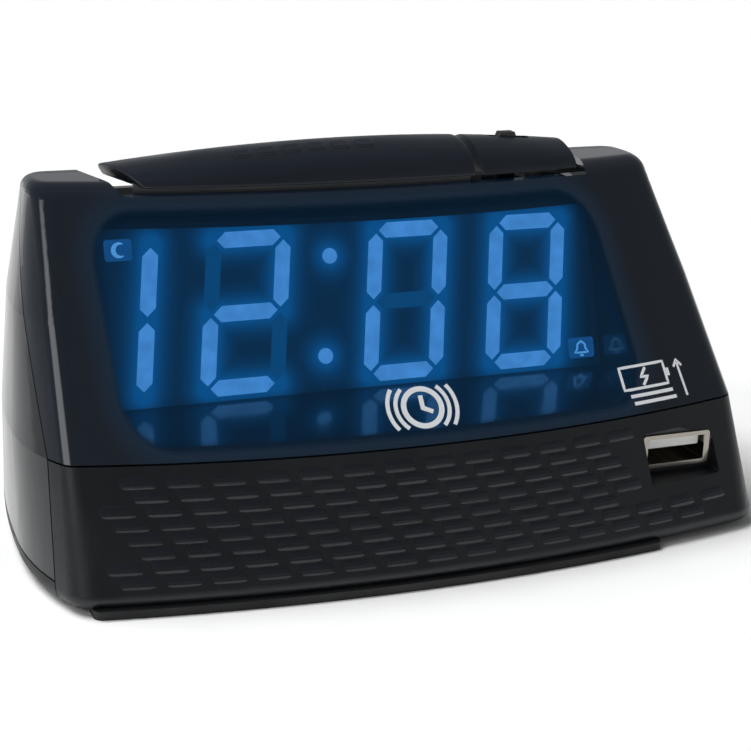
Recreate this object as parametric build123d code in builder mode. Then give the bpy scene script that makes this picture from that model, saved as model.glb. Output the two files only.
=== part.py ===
"""Bedside alarm clock with a bowed, leaning display cover, a top snooze bar and a charging socket.

Frame: +Z up, the display faces -Y, +X is to the right of a person who reads the clock.
The origin is on the surface that the clock stands on, under the middle of its bounding box.
"""
from build123d import *
from math import atan2, cos, radians, sin, sqrt, tan
import os

os.makedirs("parts", exist_ok=True)

# ---------------------------------------------------------------- driving sizes, in mm
FRONT_Y = -38.6           # lowest, foremost line of the band, on the centre plane
REAR_Y = 36.4             # outside of the rear wall
REAR_TOP_Y = 31.4         # the rear wall leans in above its shoulder
CASE_BOTTOM = 0.8         # the feet lift the case this much
CASE_TOP = 63.1
SEAM_Z = 22.2             # joint between the band and the smoked cover
SEAM_Y = -26.7            # the same joint, on the centre plane
COVER_LEAN = 41.5         # lean of the smoked cover from the vertical, degrees
BOW_RADIUS_BAND = 350.0   # plan bow of the front at the floor
BOW_RADIUS_COVER = 250.0  # plan bow of the front from the seam up
HALF_WIDTH_FLOOR = 65.2
HALF_WIDTH_SEAM = 65.0
HALF_WIDTH_TOP = 62.4
SIDE_BULGE = 70.9         # widest half width of the case, at the sides
SIDE_BULGE_TOP = 63.8
SHOULDER_Z = 42.0
SHOULDER_FULLNESS = 0.6
WIDEST_PART = 0.36        # where the case is widest, as a part of its depth
REAR_HALF_WIDTH = 66.0
REAR_HALF_WIDTH_TOP = 63.0
FRONT_CORNER = 4.5
FRONT_CORNER_LOW = 7.0
FLOOR_SHIFT = -0.9        # the case is set this far off centre at the floor
REAR_CORNER = 8.0
REAR_CORNER_TOP = 5.0
WALL = 2.0
TOP_EDGE = 2.4
ROUNDING_STEPS = 8
BOTTOM_EDGE = 1.8
PARTING_BACK = 13.1       # the front pieces end this far behind the front surface, up to the seam
PARTING_SLOPE = 1.01      # above the seam their edge leans more than the cover does
BASE_SEAM_Z = 3.9
STRIP_X = (-64.0, 42.0)   # ends of the soft foot under the front
GAP = 0.15                # half of the visible line between two mouldings

# display module: a flat face, less steep than the cover in front of it
LED_LEAN = 19.7
LED_CENTRE = (-4.0, 8.25, 38.9)
LED_WIDTH = 104.0
LED_LOW, LED_HIGH = -16.2, 17.6
LED_DEPTH = 5.5
DIGIT_HEIGHT = 30.5
DIGIT_WIDTH = 16.6
DIGIT_SLANT = 8.2
STROKE = 3.0
SEGMENT_GAP = 0.55
SEGMENT_DEPTH = 2.4
DIGIT_X = (-51.2, -25.5, 7.0, 32.75)
COLON_X, COLON_SPAN, COLON_R = -9.2, 19.0, 1.5
EVENING_AT, EVENING_SIZE = (-48.6, 13.1), (5.2, 4.0)
ALARM_AT, ALARM_SIZE = (44.0, -12.4), (5.7, 4.1)
TRAY_FLOOR_Z = 23.6
TRAY_WALL = 1.0

# top controls
CHANNEL_FLOOR_Z = 59.0
CHANNEL_PLATE = 1.5
TRAY_RIM_Z = 62.6
CHANNEL_REAR_Y = 45.0     # the channel runs out through the rear wall
COVER_EDGE_Z = 61.0       # top edge of the smoked cover, in front of the snooze bar
BAR_CROWN_RADIUS = 390.0
BAR_CROWN_X = 4.0
BAR_TOP_Z = 68.6
BAR_LOW_Z = 62.3
BAR_REAR_Y = 27.5
BAR_RIGHT_X = 21.6
BAR_END_AT = (-48.0, 19.0, 66.0)            # a point on the slanted left end of the bar
BAR_END_NORMAL = (-0.80, -0.232, -0.55)
POD_LEFT_X, POD_RIGHT_X = 23.2, 45.0
SNOOZE_TRAVEL = 1.0
PLUNGER_Y = 22.6
PLUNGER_AT = ((-30.0, PLUNGER_Y), (10.0, PLUNGER_Y))
KNOB_X, KNOB_Y = 33.0, 21.5

# charging socket
SOCKET_X, SOCKET_Z, SOCKET_Y = 50.4, 14.6, -23.4
SOCKET_W, SOCKET_H, SOCKET_SKIN, SOCKET_LENGTH = 13.1, 5.7, 0.4, 14.0
RIM_W, RIM_H = 14.6, 6.6
TONGUE_W, TONGUE_H = 11.1, 1.84
POCKET_W, POCKET_H = 16.4, 8.6

# rear wall
BUTTON_X = (-31.5, -10.5, 10.5, 31.5)
BUTTON_Z, BUTTON_W, BUTTON_H, BUTTON_TRAVEL = 36.0, 9.0, 4.2, 0.8
BUTTON_FACE_Y = 38.1
DIMMER_X = 47.0
INLET_X, INLET_Z, INLET_R, INLET_PIN_R = -42.0, 10.6, 2.8, 1.0
BUZZER_X, BUZZER_Z, BUZZER_R = 41.0, 15.5, 8.5
BOARD = 1.6
LED_BOARD = 1.2
MAIN_BOARD_Y = 22.5
KEY_BOARD_Z = 50.0
TACT = 6.0
SMALL_TACT = 4.5
TACT_H = 3.5
STEM_H = 1.2

# base
SCREW_AT = ((-56.0, 22.0), (56.0, 22.0), (-62.0, -5.0), (62.0, -5.0))
FOOT_AT = ((-42.0, 27.5), (42.0, 27.5))
FOOT_R = 4.2
DOOR_HALF_W, DOOR_FRONT_Y, DOOR_T = 25.0, 2.0, 1.4
CELL_R, CELL_LENGTH = 5.2, 44.0
CELL_Y = (8.6, 20.0)
CELL_Z = 8.2


# ---------------------------------------------------------------- helpers
def front_y(z, push=0.0):
    """Front surface on the centre plane at height z, pushed in by push, measured square to the wall."""
    if z < SEAM_Z:
        lean = atan2(SEAM_Y - FRONT_Y, SEAM_Z)
        return FRONT_Y + z * tan(lean) + push / cos(lean)
    return SEAM_Y + (z - SEAM_Z) * tan(radians(COVER_LEAN)) + push / cos(radians(COVER_LEAN))


def bow(x, radius=BOW_RADIUS_COVER):
    """How far the bowed front has gone back at a distance x from the centre plane."""
    return radius - sqrt(radius * radius - x * x)


def crown(x):
    """How far the snooze bar's top has dropped at x."""
    return BAR_CROWN_RADIUS - sqrt(BAR_CROWN_RADIUS ** 2 - (x - BAR_CROWN_X) ** 2)


def plan_outline(z, inset, half_front, half_side, half_rear, radius, rear_y=REAR_Y,
                 rear_corner=REAR_CORNER, front_corner=FRONT_CORNER):
    """Plan section of the case at z: bowed front, bulging sides, straight rear, rounded corners."""
    y0 = front_y(z, inset)
    w, s, r = half_front - inset, half_side - inset, half_rear - inset
    back = rear_y - inset
    side_y = y0 + bow(w, radius)
    widest_y = side_y + (back - side_y) * WIDEST_PART
    with BuildSketch(Plane.XY.offset(z)) as section:
        with BuildLine():
            ThreePointArc((-w, side_y), (0, y0), (w, side_y))
            TangentArc((s, widest_y), (w, side_y), tangent=(0, -1))
            TangentArc((s, widest_y), (r, back), tangent=(0, 1))
            Line((r, back), (-r, back))
            TangentArc((-s, widest_y), (-r, back), tangent=(0, 1))
            TangentArc((-s, widest_y), (-w, side_y), tangent=(0, -1))
        make_face()
        fillet(section.vertices().sort_by(Axis.Y)[:2], front_corner - inset)
        fillet(section.vertices().sort_by(Axis.Y)[-2:], rear_corner - inset)
    return section.sketch


def top_outline(z, inset):
    """Plan section near the top of the case, where it is narrowest."""
    return plan_outline(z, inset, HALF_WIDTH_TOP, SIDE_BULGE_TOP, REAR_HALF_WIDTH_TOP, BOW_RADIUS_COVER,
                        REAR_TOP_Y, REAR_CORNER_TOP)


def shoulder_outline(inset):
    """Plan section where the rear wall starts to lean in, part of the way from the seam to the top."""
    part = (SHOULDER_Z - SEAM_Z) / (CASE_TOP - SEAM_Z)
    return plan_outline(SHOULDER_Z, inset, HALF_WIDTH_SEAM + part * (HALF_WIDTH_TOP - HALF_WIDTH_SEAM),
                        SIDE_BULGE + part * (SIDE_BULGE_TOP - SIDE_BULGE) + SHOULDER_FULLNESS,
                        REAR_HALF_WIDTH + part * (REAR_HALF_WIDTH_TOP - REAR_HALF_WIDTH), BOW_RADIUS_COVER)


def case_solid(inset, edge=0.0):
    """The whole case as one block, moved in by inset; its top edge is rounded to the radius edge."""
    low_z, top_z = CASE_BOTTOM + inset, CASE_TOP - inset
    with BuildPart() as body:
        add(Pos(FLOOR_SHIFT, 0, 0) * plan_outline(
            low_z, inset, HALF_WIDTH_FLOOR, SIDE_BULGE, REAR_HALF_WIDTH, BOW_RADIUS_BAND,
            front_corner=FRONT_CORNER_LOW))
        add(plan_outline(SEAM_Z, inset, HALF_WIDTH_SEAM, SIDE_BULGE, REAR_HALF_WIDTH, BOW_RADIUS_COVER))
        add(shoulder_outline(inset))
        add(top_outline(top_z - edge, inset))
        if edge:
            for step in range(1, ROUNDING_STEPS + 1):
                turn = radians(90 * step / ROUNDING_STEPS)
                add(top_outline(top_z - edge + edge * sin(turn), inset + edge * (1 - cos(turn))))
        loft(ruled=True)
    return body.part


def front_zone(shift=0.0):
    """Everything in front of the leaning parting plane of the front mouldings."""
    with BuildPart() as zone:
        with BuildSketch(Plane.YZ.offset(-90)):
            with BuildLine():
                Polyline((-60, -5), (front_y(0) + PARTING_BACK + shift, -5),
                         (front_y(0) + PARTING_BACK + shift, 0),
                         (SEAM_Y + PARTING_BACK + shift, SEAM_Z),
                         (SEAM_Y + PARTING_BACK + shift + (80 - SEAM_Z) * PARTING_SLOPE, 80), (-60, 80),
                         close=True)
            make_face()
        extrude(amount=180)
    return zone.part


def slab(z0, z1, half=90.0):
    """A level slab between two heights."""
    with BuildPart() as part:
        with BuildSketch(Plane.XY.offset(z0)):
            Rectangle(2 * half, 2 * half)
        extrude(amount=z1 - z0)
    return part.part


def block(x, y, z):
    """A box from its x, y and z ranges."""
    with BuildPart() as part:
        with BuildSketch(Plane.XY.offset(z[0])):
            with Locations(((x[0] + x[1]) / 2, (y[0] + y[1]) / 2)):
                Rectangle(x[1] - x[0], y[1] - y[0])
        extrude(amount=z[1] - z[0])
    return part.part


def channel_block(grow=0.0, floor=CHANNEL_FLOOR_Z):
    """The space of the top channel: slanted at its left end, scooped at its right end."""
    left_front, left_rear = (-45.2 - grow, 2.0), (-56.9 - grow, CHANNEL_REAR_Y)
    right_front, right_middle = (44.6 + grow, 2.0), (48.0 + grow, 18.0)
    right_rear = (53.0 + grow, CHANNEL_REAR_Y)
    with BuildPart() as part:
        with BuildSketch(Plane.XY.offset(floor)):
            with BuildLine():
                Polyline(right_front, left_front, left_rear, right_rear)
                ThreePointArc(right_rear, right_middle, right_front)
            make_face()
        extrude(amount=20)
    return part.part


def save(builder, name):
    builder.part.label = name
    export_step(builder.part, f"parts/{name}.step")


# ---------------------------------------------------------------- case mouldings
with BuildPart() as rounded:
    add(case_solid(0.0, TOP_EDGE))
    fillet(rounded.faces().sort_by(Axis.Z)[0].edges(), BOTTOM_EDGE)
with BuildPart() as shell:
    add(rounded.part)
    add(case_solid(WALL), mode=Mode.SUBTRACT)

with BuildPart() as display_cover:
    add(shell.part)
    add(front_zone(-GAP), mode=Mode.INTERSECT)
    add(slab(-5, SEAM_Z + GAP), mode=Mode.SUBTRACT)
    add(channel_block(0.0, COVER_EDGE_Z), mode=Mode.SUBTRACT)
save(display_cover, "display_cover")

pocket_x = (SOCKET_X - POCKET_W / 2, SOCKET_X + POCKET_W / 2)
pocket_z = (SOCKET_Z - POCKET_H / 2, SOCKET_Z + POCKET_H / 2)
with BuildPart() as pocket_boss:
    add(block((pocket_x[0] - 1.5, pocket_x[1] + 1.5), (-45, SOCKET_Y + 1.6),
              (pocket_z[0] - 1.5, pocket_z[1] + 1.5)))
    add(rounded.part, mode=Mode.INTERSECT)
with BuildPart() as lower_bezel:
    add(shell.part)
    add(front_zone(-GAP), mode=Mode.INTERSECT)
    add(slab(SEAM_Z - GAP, 90), mode=Mode.SUBTRACT)
    add(pocket_boss.part)
    with BuildSketch(Plane.XZ.offset(-SOCKET_Y)):
        with Locations((SOCKET_X, SOCKET_Z)):
            RectangleRounded(POCKET_W, POCKET_H, 0.6)
    extrude(amount=30, mode=Mode.SUBTRACT)
    with BuildSketch(Plane.XZ.offset(-SOCKET_Y - 3)):
        with Locations((SOCKET_X, SOCKET_Z)):
            Rectangle(SOCKET_W + 0.3, SOCKET_H + 0.3)
    extrude(amount=30, mode=Mode.SUBTRACT)


def foot_strip_outline(z, grow):
    """Long foot under the band: it follows the bow and ends round."""
    y0 = FRONT_Y + 0.5
    with BuildSketch(Plane.XY.offset(z)) as strip:
        with BuildLine():
            left, right = STRIP_X[0] - grow, STRIP_X[1] + grow
            ThreePointArc((left, y0 + bow(left, BOW_RADIUS_BAND)), (0, y0 - grow),
                          (right, y0 + bow(right, BOW_RADIUS_BAND)))
            Line((right, y0 + bow(right, BOW_RADIUS_BAND)), (right, y0 + 6 + bow(right, BOW_RADIUS_BAND)))
            ThreePointArc((right, y0 + 6 + bow(right, BOW_RADIUS_BAND)), (0, y0 + 6 + grow),
                          (left, y0 + 6 + bow(left, BOW_RADIUS_BAND)))
            Line((left, y0 + 6 + bow(left, BOW_RADIUS_BAND)), (left, y0 + bow(left, BOW_RADIUS_BAND)))
        make_face()
        fillet(strip.vertices(), 1.6)
    return strip.sketch


with BuildPart() as foot_recess:
    add(foot_strip_outline(-1, 0.05))
    extrude(amount=2.6)
with BuildPart() as lower_bezel_done:
    add(lower_bezel.part)
    add(foot_recess.part, mode=Mode.SUBTRACT)
save(lower_bezel_done, "lower_bezel")

with BuildPart() as foot_strip:
    add(foot_strip_outline(0, 0.0))
    extrude(amount=1.5)
save(foot_strip, "foot_strip")

with BuildPart() as boss_webs:
    web_z = (BASE_SEAM_Z + GAP, BASE_SEAM_Z + GAP + 10)
    for x, y in SCREW_AT:
        side = 1 if x > 0 else -1
        add(block(sorted((side * (abs(x) + 2.6), side * 80)), (y - 0.6, y + 0.6), web_z))
    add(rounded.part, mode=Mode.INTERSECT)
with BuildPart() as rear_case:
    add(shell.part)
    add(front_zone(GAP), mode=Mode.SUBTRACT)
    add(slab(-5, BASE_SEAM_Z + GAP), mode=Mode.SUBTRACT)
    add(channel_block(), mode=Mode.SUBTRACT)
    with BuildSketch(Plane.XZ.offset(-REAR_Y + 10)):
        with Locations(*[(x, BUTTON_Z) for x in BUTTON_X]):
            RectangleRounded(BUTTON_W + 0.4, BUTTON_H + 0.4, 1.2)
        with Locations((DIMMER_X, BUTTON_Z)):
            SlotOverall(10.0, 3.2)
        with Locations((INLET_X, INLET_Z)):
            Circle(INLET_R + 1.6)
        with GridLocations(0, 3.2, 1, 5):
            with Locations((BUZZER_X, BUZZER_Z)):
                SlotOverall(13.0, 1.4)
    extrude(amount=-20, mode=Mode.SUBTRACT)
    with BuildSketch(Plane.XY.offset(BASE_SEAM_Z + GAP)):
        with Locations(*SCREW_AT):
            Circle(3.2)
            Circle(1.35, mode=Mode.SUBTRACT)
    extrude(amount=10)
    add(boss_webs.part)
save(rear_case, "rear_case")

with BuildPart() as bay_walls:
    add(block((-DOOR_HALF_W - 0.2, DOOR_HALF_W + 0.2), (DOOR_FRONT_Y - 0.5, 26.8), (2.4, 14.8)))
    add(block((-DOOR_HALF_W + 1.2, DOOR_HALF_W - 1.2), (DOOR_FRONT_Y + 0.7, 25.6), (0.0, 13.6)),
        mode=Mode.SUBTRACT)
with BuildPart() as base_cover:
    add(shell.part)
    add(front_zone(GAP), mode=Mode.SUBTRACT)
    add(slab(BASE_SEAM_Z - GAP, 90), mode=Mode.SUBTRACT)
    add(bay_walls.part)
    add(block((-DOOR_HALF_W - 0.2, DOOR_HALF_W + 0.2), (DOOR_FRONT_Y, 50),
              (0.0, CASE_BOTTOM + DOOR_T + 0.2)),
        mode=Mode.SUBTRACT)
    add(block((-DOOR_HALF_W - 0.2, DOOR_HALF_W + 0.2), (30.0, 50), (0.0, BASE_SEAM_Z)), mode=Mode.SUBTRACT)
    add(block((-DOOR_HALF_W + 1.2, DOOR_HALF_W - 1.2), (DOOR_FRONT_Y + 0.7, 25.6), (0.0, 4.0)),
        mode=Mode.SUBTRACT)
    with BuildSketch(Plane.XY.offset(CASE_BOTTOM)):
        with Locations(*SCREW_AT):
            Circle(1.5)
    extrude(amount=10, mode=Mode.SUBTRACT)
    with BuildSketch(Plane.XY.offset(CASE_BOTTOM)):
        with Locations(*SCREW_AT):
            Circle(2.9)
    extrude(amount=1.2, mode=Mode.SUBTRACT)
    with BuildSketch(Plane.XY.offset(CASE_BOTTOM)):
        with Locations(*FOOT_AT):
            Circle(FOOT_R + 0.05)
    extrude(amount=0.6, mode=Mode.SUBTRACT)
save(base_cover, "base_cover")

with BuildPart() as rear_feet:
    with BuildSketch(Plane.XY):
        with Locations(*FOOT_AT):
            Circle(FOOT_R)
    extrude(amount=CASE_BOTTOM + 0.5)
    chamfer(rear_feet.faces().sort_by(Axis.Z)[:2].edges(), 0.4)
save(rear_feet, "rear_feet")

with BuildPart() as case_screws:
    with BuildSketch(Plane.XY.offset(CASE_BOTTOM + 0.1)):
        with Locations(*SCREW_AT):
            Circle(2.6)
    extrude(amount=1.0)
    with BuildSketch(Plane.XY.offset(CASE_BOTTOM + 0.1)):
        with Locations(*SCREW_AT):
            Circle(1.3)
    extrude(amount=10.5)
    with BuildSketch(Plane.XY.offset(CASE_BOTTOM + 0.1)):
        with Locations(*SCREW_AT):
            Rectangle(3.0, 0.6)
            Rectangle(0.6, 3.0)
    extrude(amount=0.6, mode=Mode.SUBTRACT)
save(case_screws, "case_screws")

with BuildPart() as battery_door:
    add(block((-DOOR_HALF_W, DOOR_HALF_W), (DOOR_FRONT_Y + 0.2, 50), (CASE_BOTTOM, CASE_BOTTOM + DOOR_T)))
    add(block((-DOOR_HALF_W, DOOR_HALF_W), (REAR_Y - WALL, 50), (CASE_BOTTOM, BASE_SEAM_Z - GAP - 0.1)))
    add(rounded.part, mode=Mode.INTERSECT)
    with BuildSketch(Plane.XY.offset(CASE_BOTTOM)):
        with Locations((0, 24.0)):
            with GridLocations(0, 1.6, 1, 5):
                SlotOverall(12.0, 0.7)
    extrude(amount=0.4, mode=Mode.SUBTRACT)
save(battery_door, "battery_door")

# ---------------------------------------------------------------- display
LED_OUT = (0.0, -cos(radians(LED_LEAN)), sin(radians(LED_LEAN)))
led_plane = Plane(origin=(0.0, LED_CENTRE[1], LED_CENTRE[2]), x_dir=(1, 0, 0), z_dir=LED_OUT)


def segment(a, b):
    """One hexagonal bar segment from a to b, with pointed ends."""
    length = sqrt((b[0] - a[0]) ** 2 + (b[1] - a[1]) ** 2)
    ux, uy = (b[0] - a[0]) / length, (b[1] - a[1]) / length
    half = STROKE / 2
    start = (a[0] + ux * SEGMENT_GAP, a[1] + uy * SEGMENT_GAP)
    end = (b[0] - ux * SEGMENT_GAP, b[1] - uy * SEGMENT_GAP)
    return [start,
            (start[0] + (ux - uy) * half, start[1] + (uy + ux) * half),
            (end[0] + (-ux - uy) * half, end[1] + (-uy + ux) * half),
            end,
            (end[0] + (-ux + uy) * half, end[1] + (-uy - ux) * half),
            (start[0] + (ux + uy) * half, start[1] + (uy - ux) * half)]


HALF_W = (DIGIT_WIDTH - STROKE) / 2
HALF_H = (DIGIT_HEIGHT - STROKE) / 2
SEGMENT_ENDS = {"a": ((-HALF_W, HALF_H), (HALF_W, HALF_H)), "b": ((HALF_W, HALF_H), (HALF_W, 0)),
                "c": ((HALF_W, 0), (HALF_W, -HALF_H)), "d": ((-HALF_W, -HALF_H), (HALF_W, -HALF_H)),
                "e": ((-HALF_W, 0), (-HALF_W, -HALF_H)), "f": ((-HALF_W, HALF_H), (-HALF_W, 0)),
                "g": ((-HALF_W, 0), (HALF_W, 0))}
LIT = ("bc", "abged", "abcdef", "abcdefg")
PRESENT = ("bc", "abcdefg", "abcdefg", "abcdefg")


def leaning(points, centre_x):
    """Shears a digit's points to its slant and puts them at the digit's place."""
    return [(centre_x + x + y * tan(radians(DIGIT_SLANT)), y) for x, y in points]


def segment_faces(names_by_digit):
    """Outlines of the named segments of each digit."""
    return [leaning(segment(*SEGMENT_ENDS[name]), centre)
            for centre, names in zip(DIGIT_X, names_by_digit) for name in names]


def segment_bars(outlines, start, depth):
    """Bars from a depth under the display face."""
    with BuildPart() as bars:
        for points in outlines:
            with BuildSketch(led_plane.offset(-start)):
                with BuildLine():
                    Polyline(*points, close=True)
                make_face()
            extrude(amount=-depth)
    return bars.part


UNLIT = tuple("".join(n for n in present if n not in lit) for present, lit in zip(PRESENT, LIT))
with BuildPart() as led_frame:
    with BuildSketch(led_plane):
        with Locations((LED_CENTRE[0], (LED_LOW + LED_HIGH) / 2)):
            Rectangle(LED_WIDTH, LED_HIGH - LED_LOW)
    extrude(amount=-LED_DEPTH)
    add(segment_bars(segment_faces(PRESENT), 0.0, SEGMENT_DEPTH), mode=Mode.SUBTRACT)
    with BuildSketch(led_plane):
        with Locations((COLON_X + COLON_SPAN / 2 * tan(radians(DIGIT_SLANT)), COLON_SPAN / 2),
                       (COLON_X - COLON_SPAN / 2 * tan(radians(DIGIT_SLANT)), -COLON_SPAN / 2)):
            Circle(COLON_R)
        with Locations(EVENING_AT):
            RectangleRounded(*EVENING_SIZE, 0.6)
        with Locations(ALARM_AT):
            RectangleRounded(*ALARM_SIZE, 0.6)
    extrude(amount=-SEGMENT_DEPTH, mode=Mode.SUBTRACT)
save(led_frame, "led_frame")

with BuildPart() as lit_segments:
    add(segment_bars(segment_faces(LIT), 0.1, SEGMENT_DEPTH - 0.1))
save(lit_segments, "lit_segments")

with BuildPart() as unlit_segments:
    add(segment_bars(segment_faces(UNLIT), 0.1, SEGMENT_DEPTH - 0.1))
save(unlit_segments, "unlit_segments")

with BuildPart() as colon_dots:
    with BuildSketch(led_plane.offset(-0.1)):
        with Locations((COLON_X + COLON_SPAN / 2 * tan(radians(DIGIT_SLANT)), COLON_SPAN / 2),
                       (COLON_X - COLON_SPAN / 2 * tan(radians(DIGIT_SLANT)), -COLON_SPAN / 2)):
            Circle(COLON_R)
    extrude(amount=-(SEGMENT_DEPTH - 0.1))
save(colon_dots, "colon_dots")

for window_name, place, size in (("evening_indicator", EVENING_AT, EVENING_SIZE),
                                 ("alarm_indicator", ALARM_AT, ALARM_SIZE)):
    with BuildPart() as window:
        with BuildSketch(led_plane.offset(-0.1)):
            with Locations(place):
                RectangleRounded(*size, 0.6)
        extrude(amount=-(SEGMENT_DEPTH - 0.1))
    save(window, window_name)

with BuildPart() as led_board:
    with BuildSketch(led_plane.offset(-LED_DEPTH)):
        with Locations((LED_CENTRE[0], (LED_LOW + LED_HIGH) / 2 - 1.0)):
            Rectangle(LED_WIDTH + 6, LED_HIGH - LED_LOW - 2.0)
    extrude(amount=-LED_BOARD)
save(led_board, "led_board")

# glossy funnel from the display face to the cover: its floor mirrors the digits
cavity = case_solid(WALL + 0.35)
with BuildPart() as behind_face:
    with BuildSketch(led_plane.offset(0.0)):
        Rectangle(400, 400)
    extrude(amount=-200)
tray_x = (LED_CENTRE[0] - LED_WIDTH / 2, LED_CENTRE[0] + LED_WIDTH / 2)
with BuildPart() as display_tray:
    add(block((tray_x[0] - TRAY_WALL, tray_x[1] + TRAY_WALL), (-40, 30), (TRAY_FLOOR_Z - TRAY_WALL, 56.6)))
    add(block(tray_x, (-50, 40), (TRAY_FLOOR_Z, 55.6)), mode=Mode.SUBTRACT)
    add(cavity, mode=Mode.INTERSECT)
    add(behind_face.part, mode=Mode.SUBTRACT)
save(display_tray, "display_tray")

# ---------------------------------------------------------------- top controls
with BuildPart() as button_tray:
    add(channel_block(-0.1, CHANNEL_FLOOR_Z - CHANNEL_PLATE))
    add(channel_block(-1.2, CHANNEL_FLOOR_Z), mode=Mode.SUBTRACT)
    add(case_solid(WALL + 0.1), mode=Mode.INTERSECT)
    add(block((-70, 70), (-10, 90), (TRAY_RIM_Z, 90)), mode=Mode.SUBTRACT)
    with BuildSketch(Plane.XY.offset(50)):
        with Locations(*PLUNGER_AT):
            Circle(1.6)
        with Locations((KNOB_X, KNOB_Y)):
            SlotOverall(9.4, 3.2)
    extrude(amount=20, mode=Mode.SUBTRACT)
save(button_tray, "button_tray")


def bar_section(x):
    """Cross section of the snooze bar and its pod at x: a sloped front face and a rounded back."""
    front = front_y(COVER_EDGE_Z) + 1.2 + bow(x)
    top = BAR_TOP_Z - crown(x)
    rear = BAR_REAR_Y
    deep, high = rear - front, top - BAR_LOW_Z
    with BuildSketch(Plane.YZ.offset(x)) as section:
        with BuildLine():
            Spline((front, BAR_LOW_Z), (front + 0.15 * deep, top - 0.42 * high),
                   (front + 0.36 * deep, top - 0.11 * high), (rear - 0.28 * deep, top),
                   (rear - 0.06 * deep, top - 0.22 * high), (rear, BAR_LOW_Z + 0.28 * high),
                   tangents=((0.35, 1.0), (0.0, -1.0)))
            Polyline((rear, BAR_LOW_Z + 0.28 * high), (rear, BAR_LOW_Z), (front, BAR_LOW_Z))
        make_face()
    return section.sketch


def dome(stations):
    """Smooth dome through the bar's sections at the given stations."""
    with BuildPart() as body:
        for x in stations:
            add(bar_section(x))
        loft()
    return body.part


with BuildPart() as bar_end:
    with BuildSketch(Plane(origin=BAR_END_AT, x_dir=(0.29, -1.0, 0.0), z_dir=BAR_END_NORMAL)):
        Rectangle(80, 80)
    extrude(amount=40)
with BuildPart() as snooze_bar:
    add(dome((-56.0, -36.0, -12.0, 6.0, BAR_RIGHT_X)))
    add(bar_end.part, mode=Mode.SUBTRACT)
    with BuildSketch(Plane.XY.offset(BAR_LOW_Z + 0.5)):
        with Locations(*PLUNGER_AT):
            Circle(1.3)
    extrude(amount=-(BAR_LOW_Z + 0.5 - (KEY_BOARD_Z + BOARD + TACT_H + STEM_H + SNOOZE_TRAVEL + 0.1)))
save(snooze_bar, "snooze_bar")

with BuildPart() as switch_pod:
    add(dome((POD_LEFT_X, 30.0, 38.0, POD_RIGHT_X)))
    add(channel_block(-2.0, CHANNEL_FLOOR_Z), mode=Mode.INTERSECT)
    with BuildSketch(Plane.XY.offset(KEY_BOARD_Z)):
        with Locations((KNOB_X, KNOB_Y)):
            SlotOverall(10.0, 3.4)
    extrude(amount=30, mode=Mode.SUBTRACT)
    with BuildSketch(Plane.XY.offset(CHANNEL_FLOOR_Z)):
        with Locations((26.5, 19.0), (40.0, 19.0)):
            Rectangle(3.0, 8.0)
    extrude(amount=BAR_LOW_Z + 0.5 - CHANNEL_FLOOR_Z)
save(switch_pod, "switch_pod")

with BuildPart() as alarm_switch_knob:
    with BuildSketch(Plane.XY.offset(57.2)):
        with Locations((KNOB_X, KNOB_Y)):
            Rectangle(4.0, 1.8)
    extrude(amount=BAR_TOP_Z - 57.2 - 1.6)
    with BuildSketch(Plane.XZ.offset(-(KNOB_Y + 1.1))):
        with BuildLine():
            Polyline((KNOB_X - 2.4, BAR_TOP_Z - 2.2), (KNOB_X - 1.5, BAR_TOP_Z - 0.1),
                     (KNOB_X + 1.5, BAR_TOP_Z - 0.1), (KNOB_X + 2.4, BAR_TOP_Z - 2.2), close=True)
        make_face()
    extrude(amount=2.2)
save(alarm_switch_knob, "alarm_switch_knob")

with BuildPart() as key_board:
    add(block((-42, 44), (20.2, 28.4), (KEY_BOARD_Z, KEY_BOARD_Z + BOARD)))
save(key_board, "key_board")

with BuildPart() as snooze_switches:
    for x in (-30, 10):
        add(block((x - SMALL_TACT / 2, x + SMALL_TACT / 2),
                  (PLUNGER_Y - SMALL_TACT / 2, PLUNGER_Y + SMALL_TACT / 2),
                  (KEY_BOARD_Z + BOARD, KEY_BOARD_Z + BOARD + TACT_H)))
    with BuildSketch(Plane.XY.offset(KEY_BOARD_Z + BOARD + TACT_H)):
        with Locations(*PLUNGER_AT):
            Circle(1.2)
    extrude(amount=STEM_H)
save(snooze_switches, "snooze_switches")

with BuildPart() as alarm_switch_body:
    add(block((KNOB_X - 5.5, KNOB_X + 5.5), (20.4, 24.8), (KEY_BOARD_Z + BOARD, 57.0)))
save(alarm_switch_body, "alarm_switch_body")

# ---------------------------------------------------------------- charging socket
socket_plane = Plane(origin=(SOCKET_X, SOCKET_Y, SOCKET_Z), x_dir=(1, 0, 0), z_dir=(0, -1, 0))
with BuildPart() as charging_socket:
    with BuildSketch(socket_plane):
        RectangleRounded(SOCKET_W, SOCKET_H, 0.5)
        RectangleRounded(SOCKET_W - 2 * SOCKET_SKIN, SOCKET_H - 2 * SOCKET_SKIN, 0.3, mode=Mode.SUBTRACT)
    extrude(amount=-SOCKET_LENGTH)
    with BuildSketch(socket_plane):
        RectangleRounded(RIM_W, RIM_H, 0.7)
        RectangleRounded(SOCKET_W - 2 * SOCKET_SKIN, SOCKET_H - 2 * SOCKET_SKIN, 0.3, mode=Mode.SUBTRACT)
    extrude(amount=0.5)
    with BuildSketch(socket_plane.offset(-SOCKET_LENGTH)):
        Rectangle(SOCKET_W - SOCKET_SKIN, SOCKET_H - SOCKET_SKIN)
    extrude(amount=0.8)
save(charging_socket, "charging_socket")

TONGUE_Z = SOCKET_H / 2 - SOCKET_SKIN - 0.35 - TONGUE_H / 2
with BuildPart() as socket_tongue:
    with BuildSketch(socket_plane.offset(-SOCKET_LENGTH + 0.8)):
        with Locations((0, TONGUE_Z)):
            RectangleRounded(TONGUE_W, TONGUE_H, 0.25)
    extrude(amount=SOCKET_LENGTH - 1.6)
save(socket_tongue, "socket_tongue")

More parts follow.
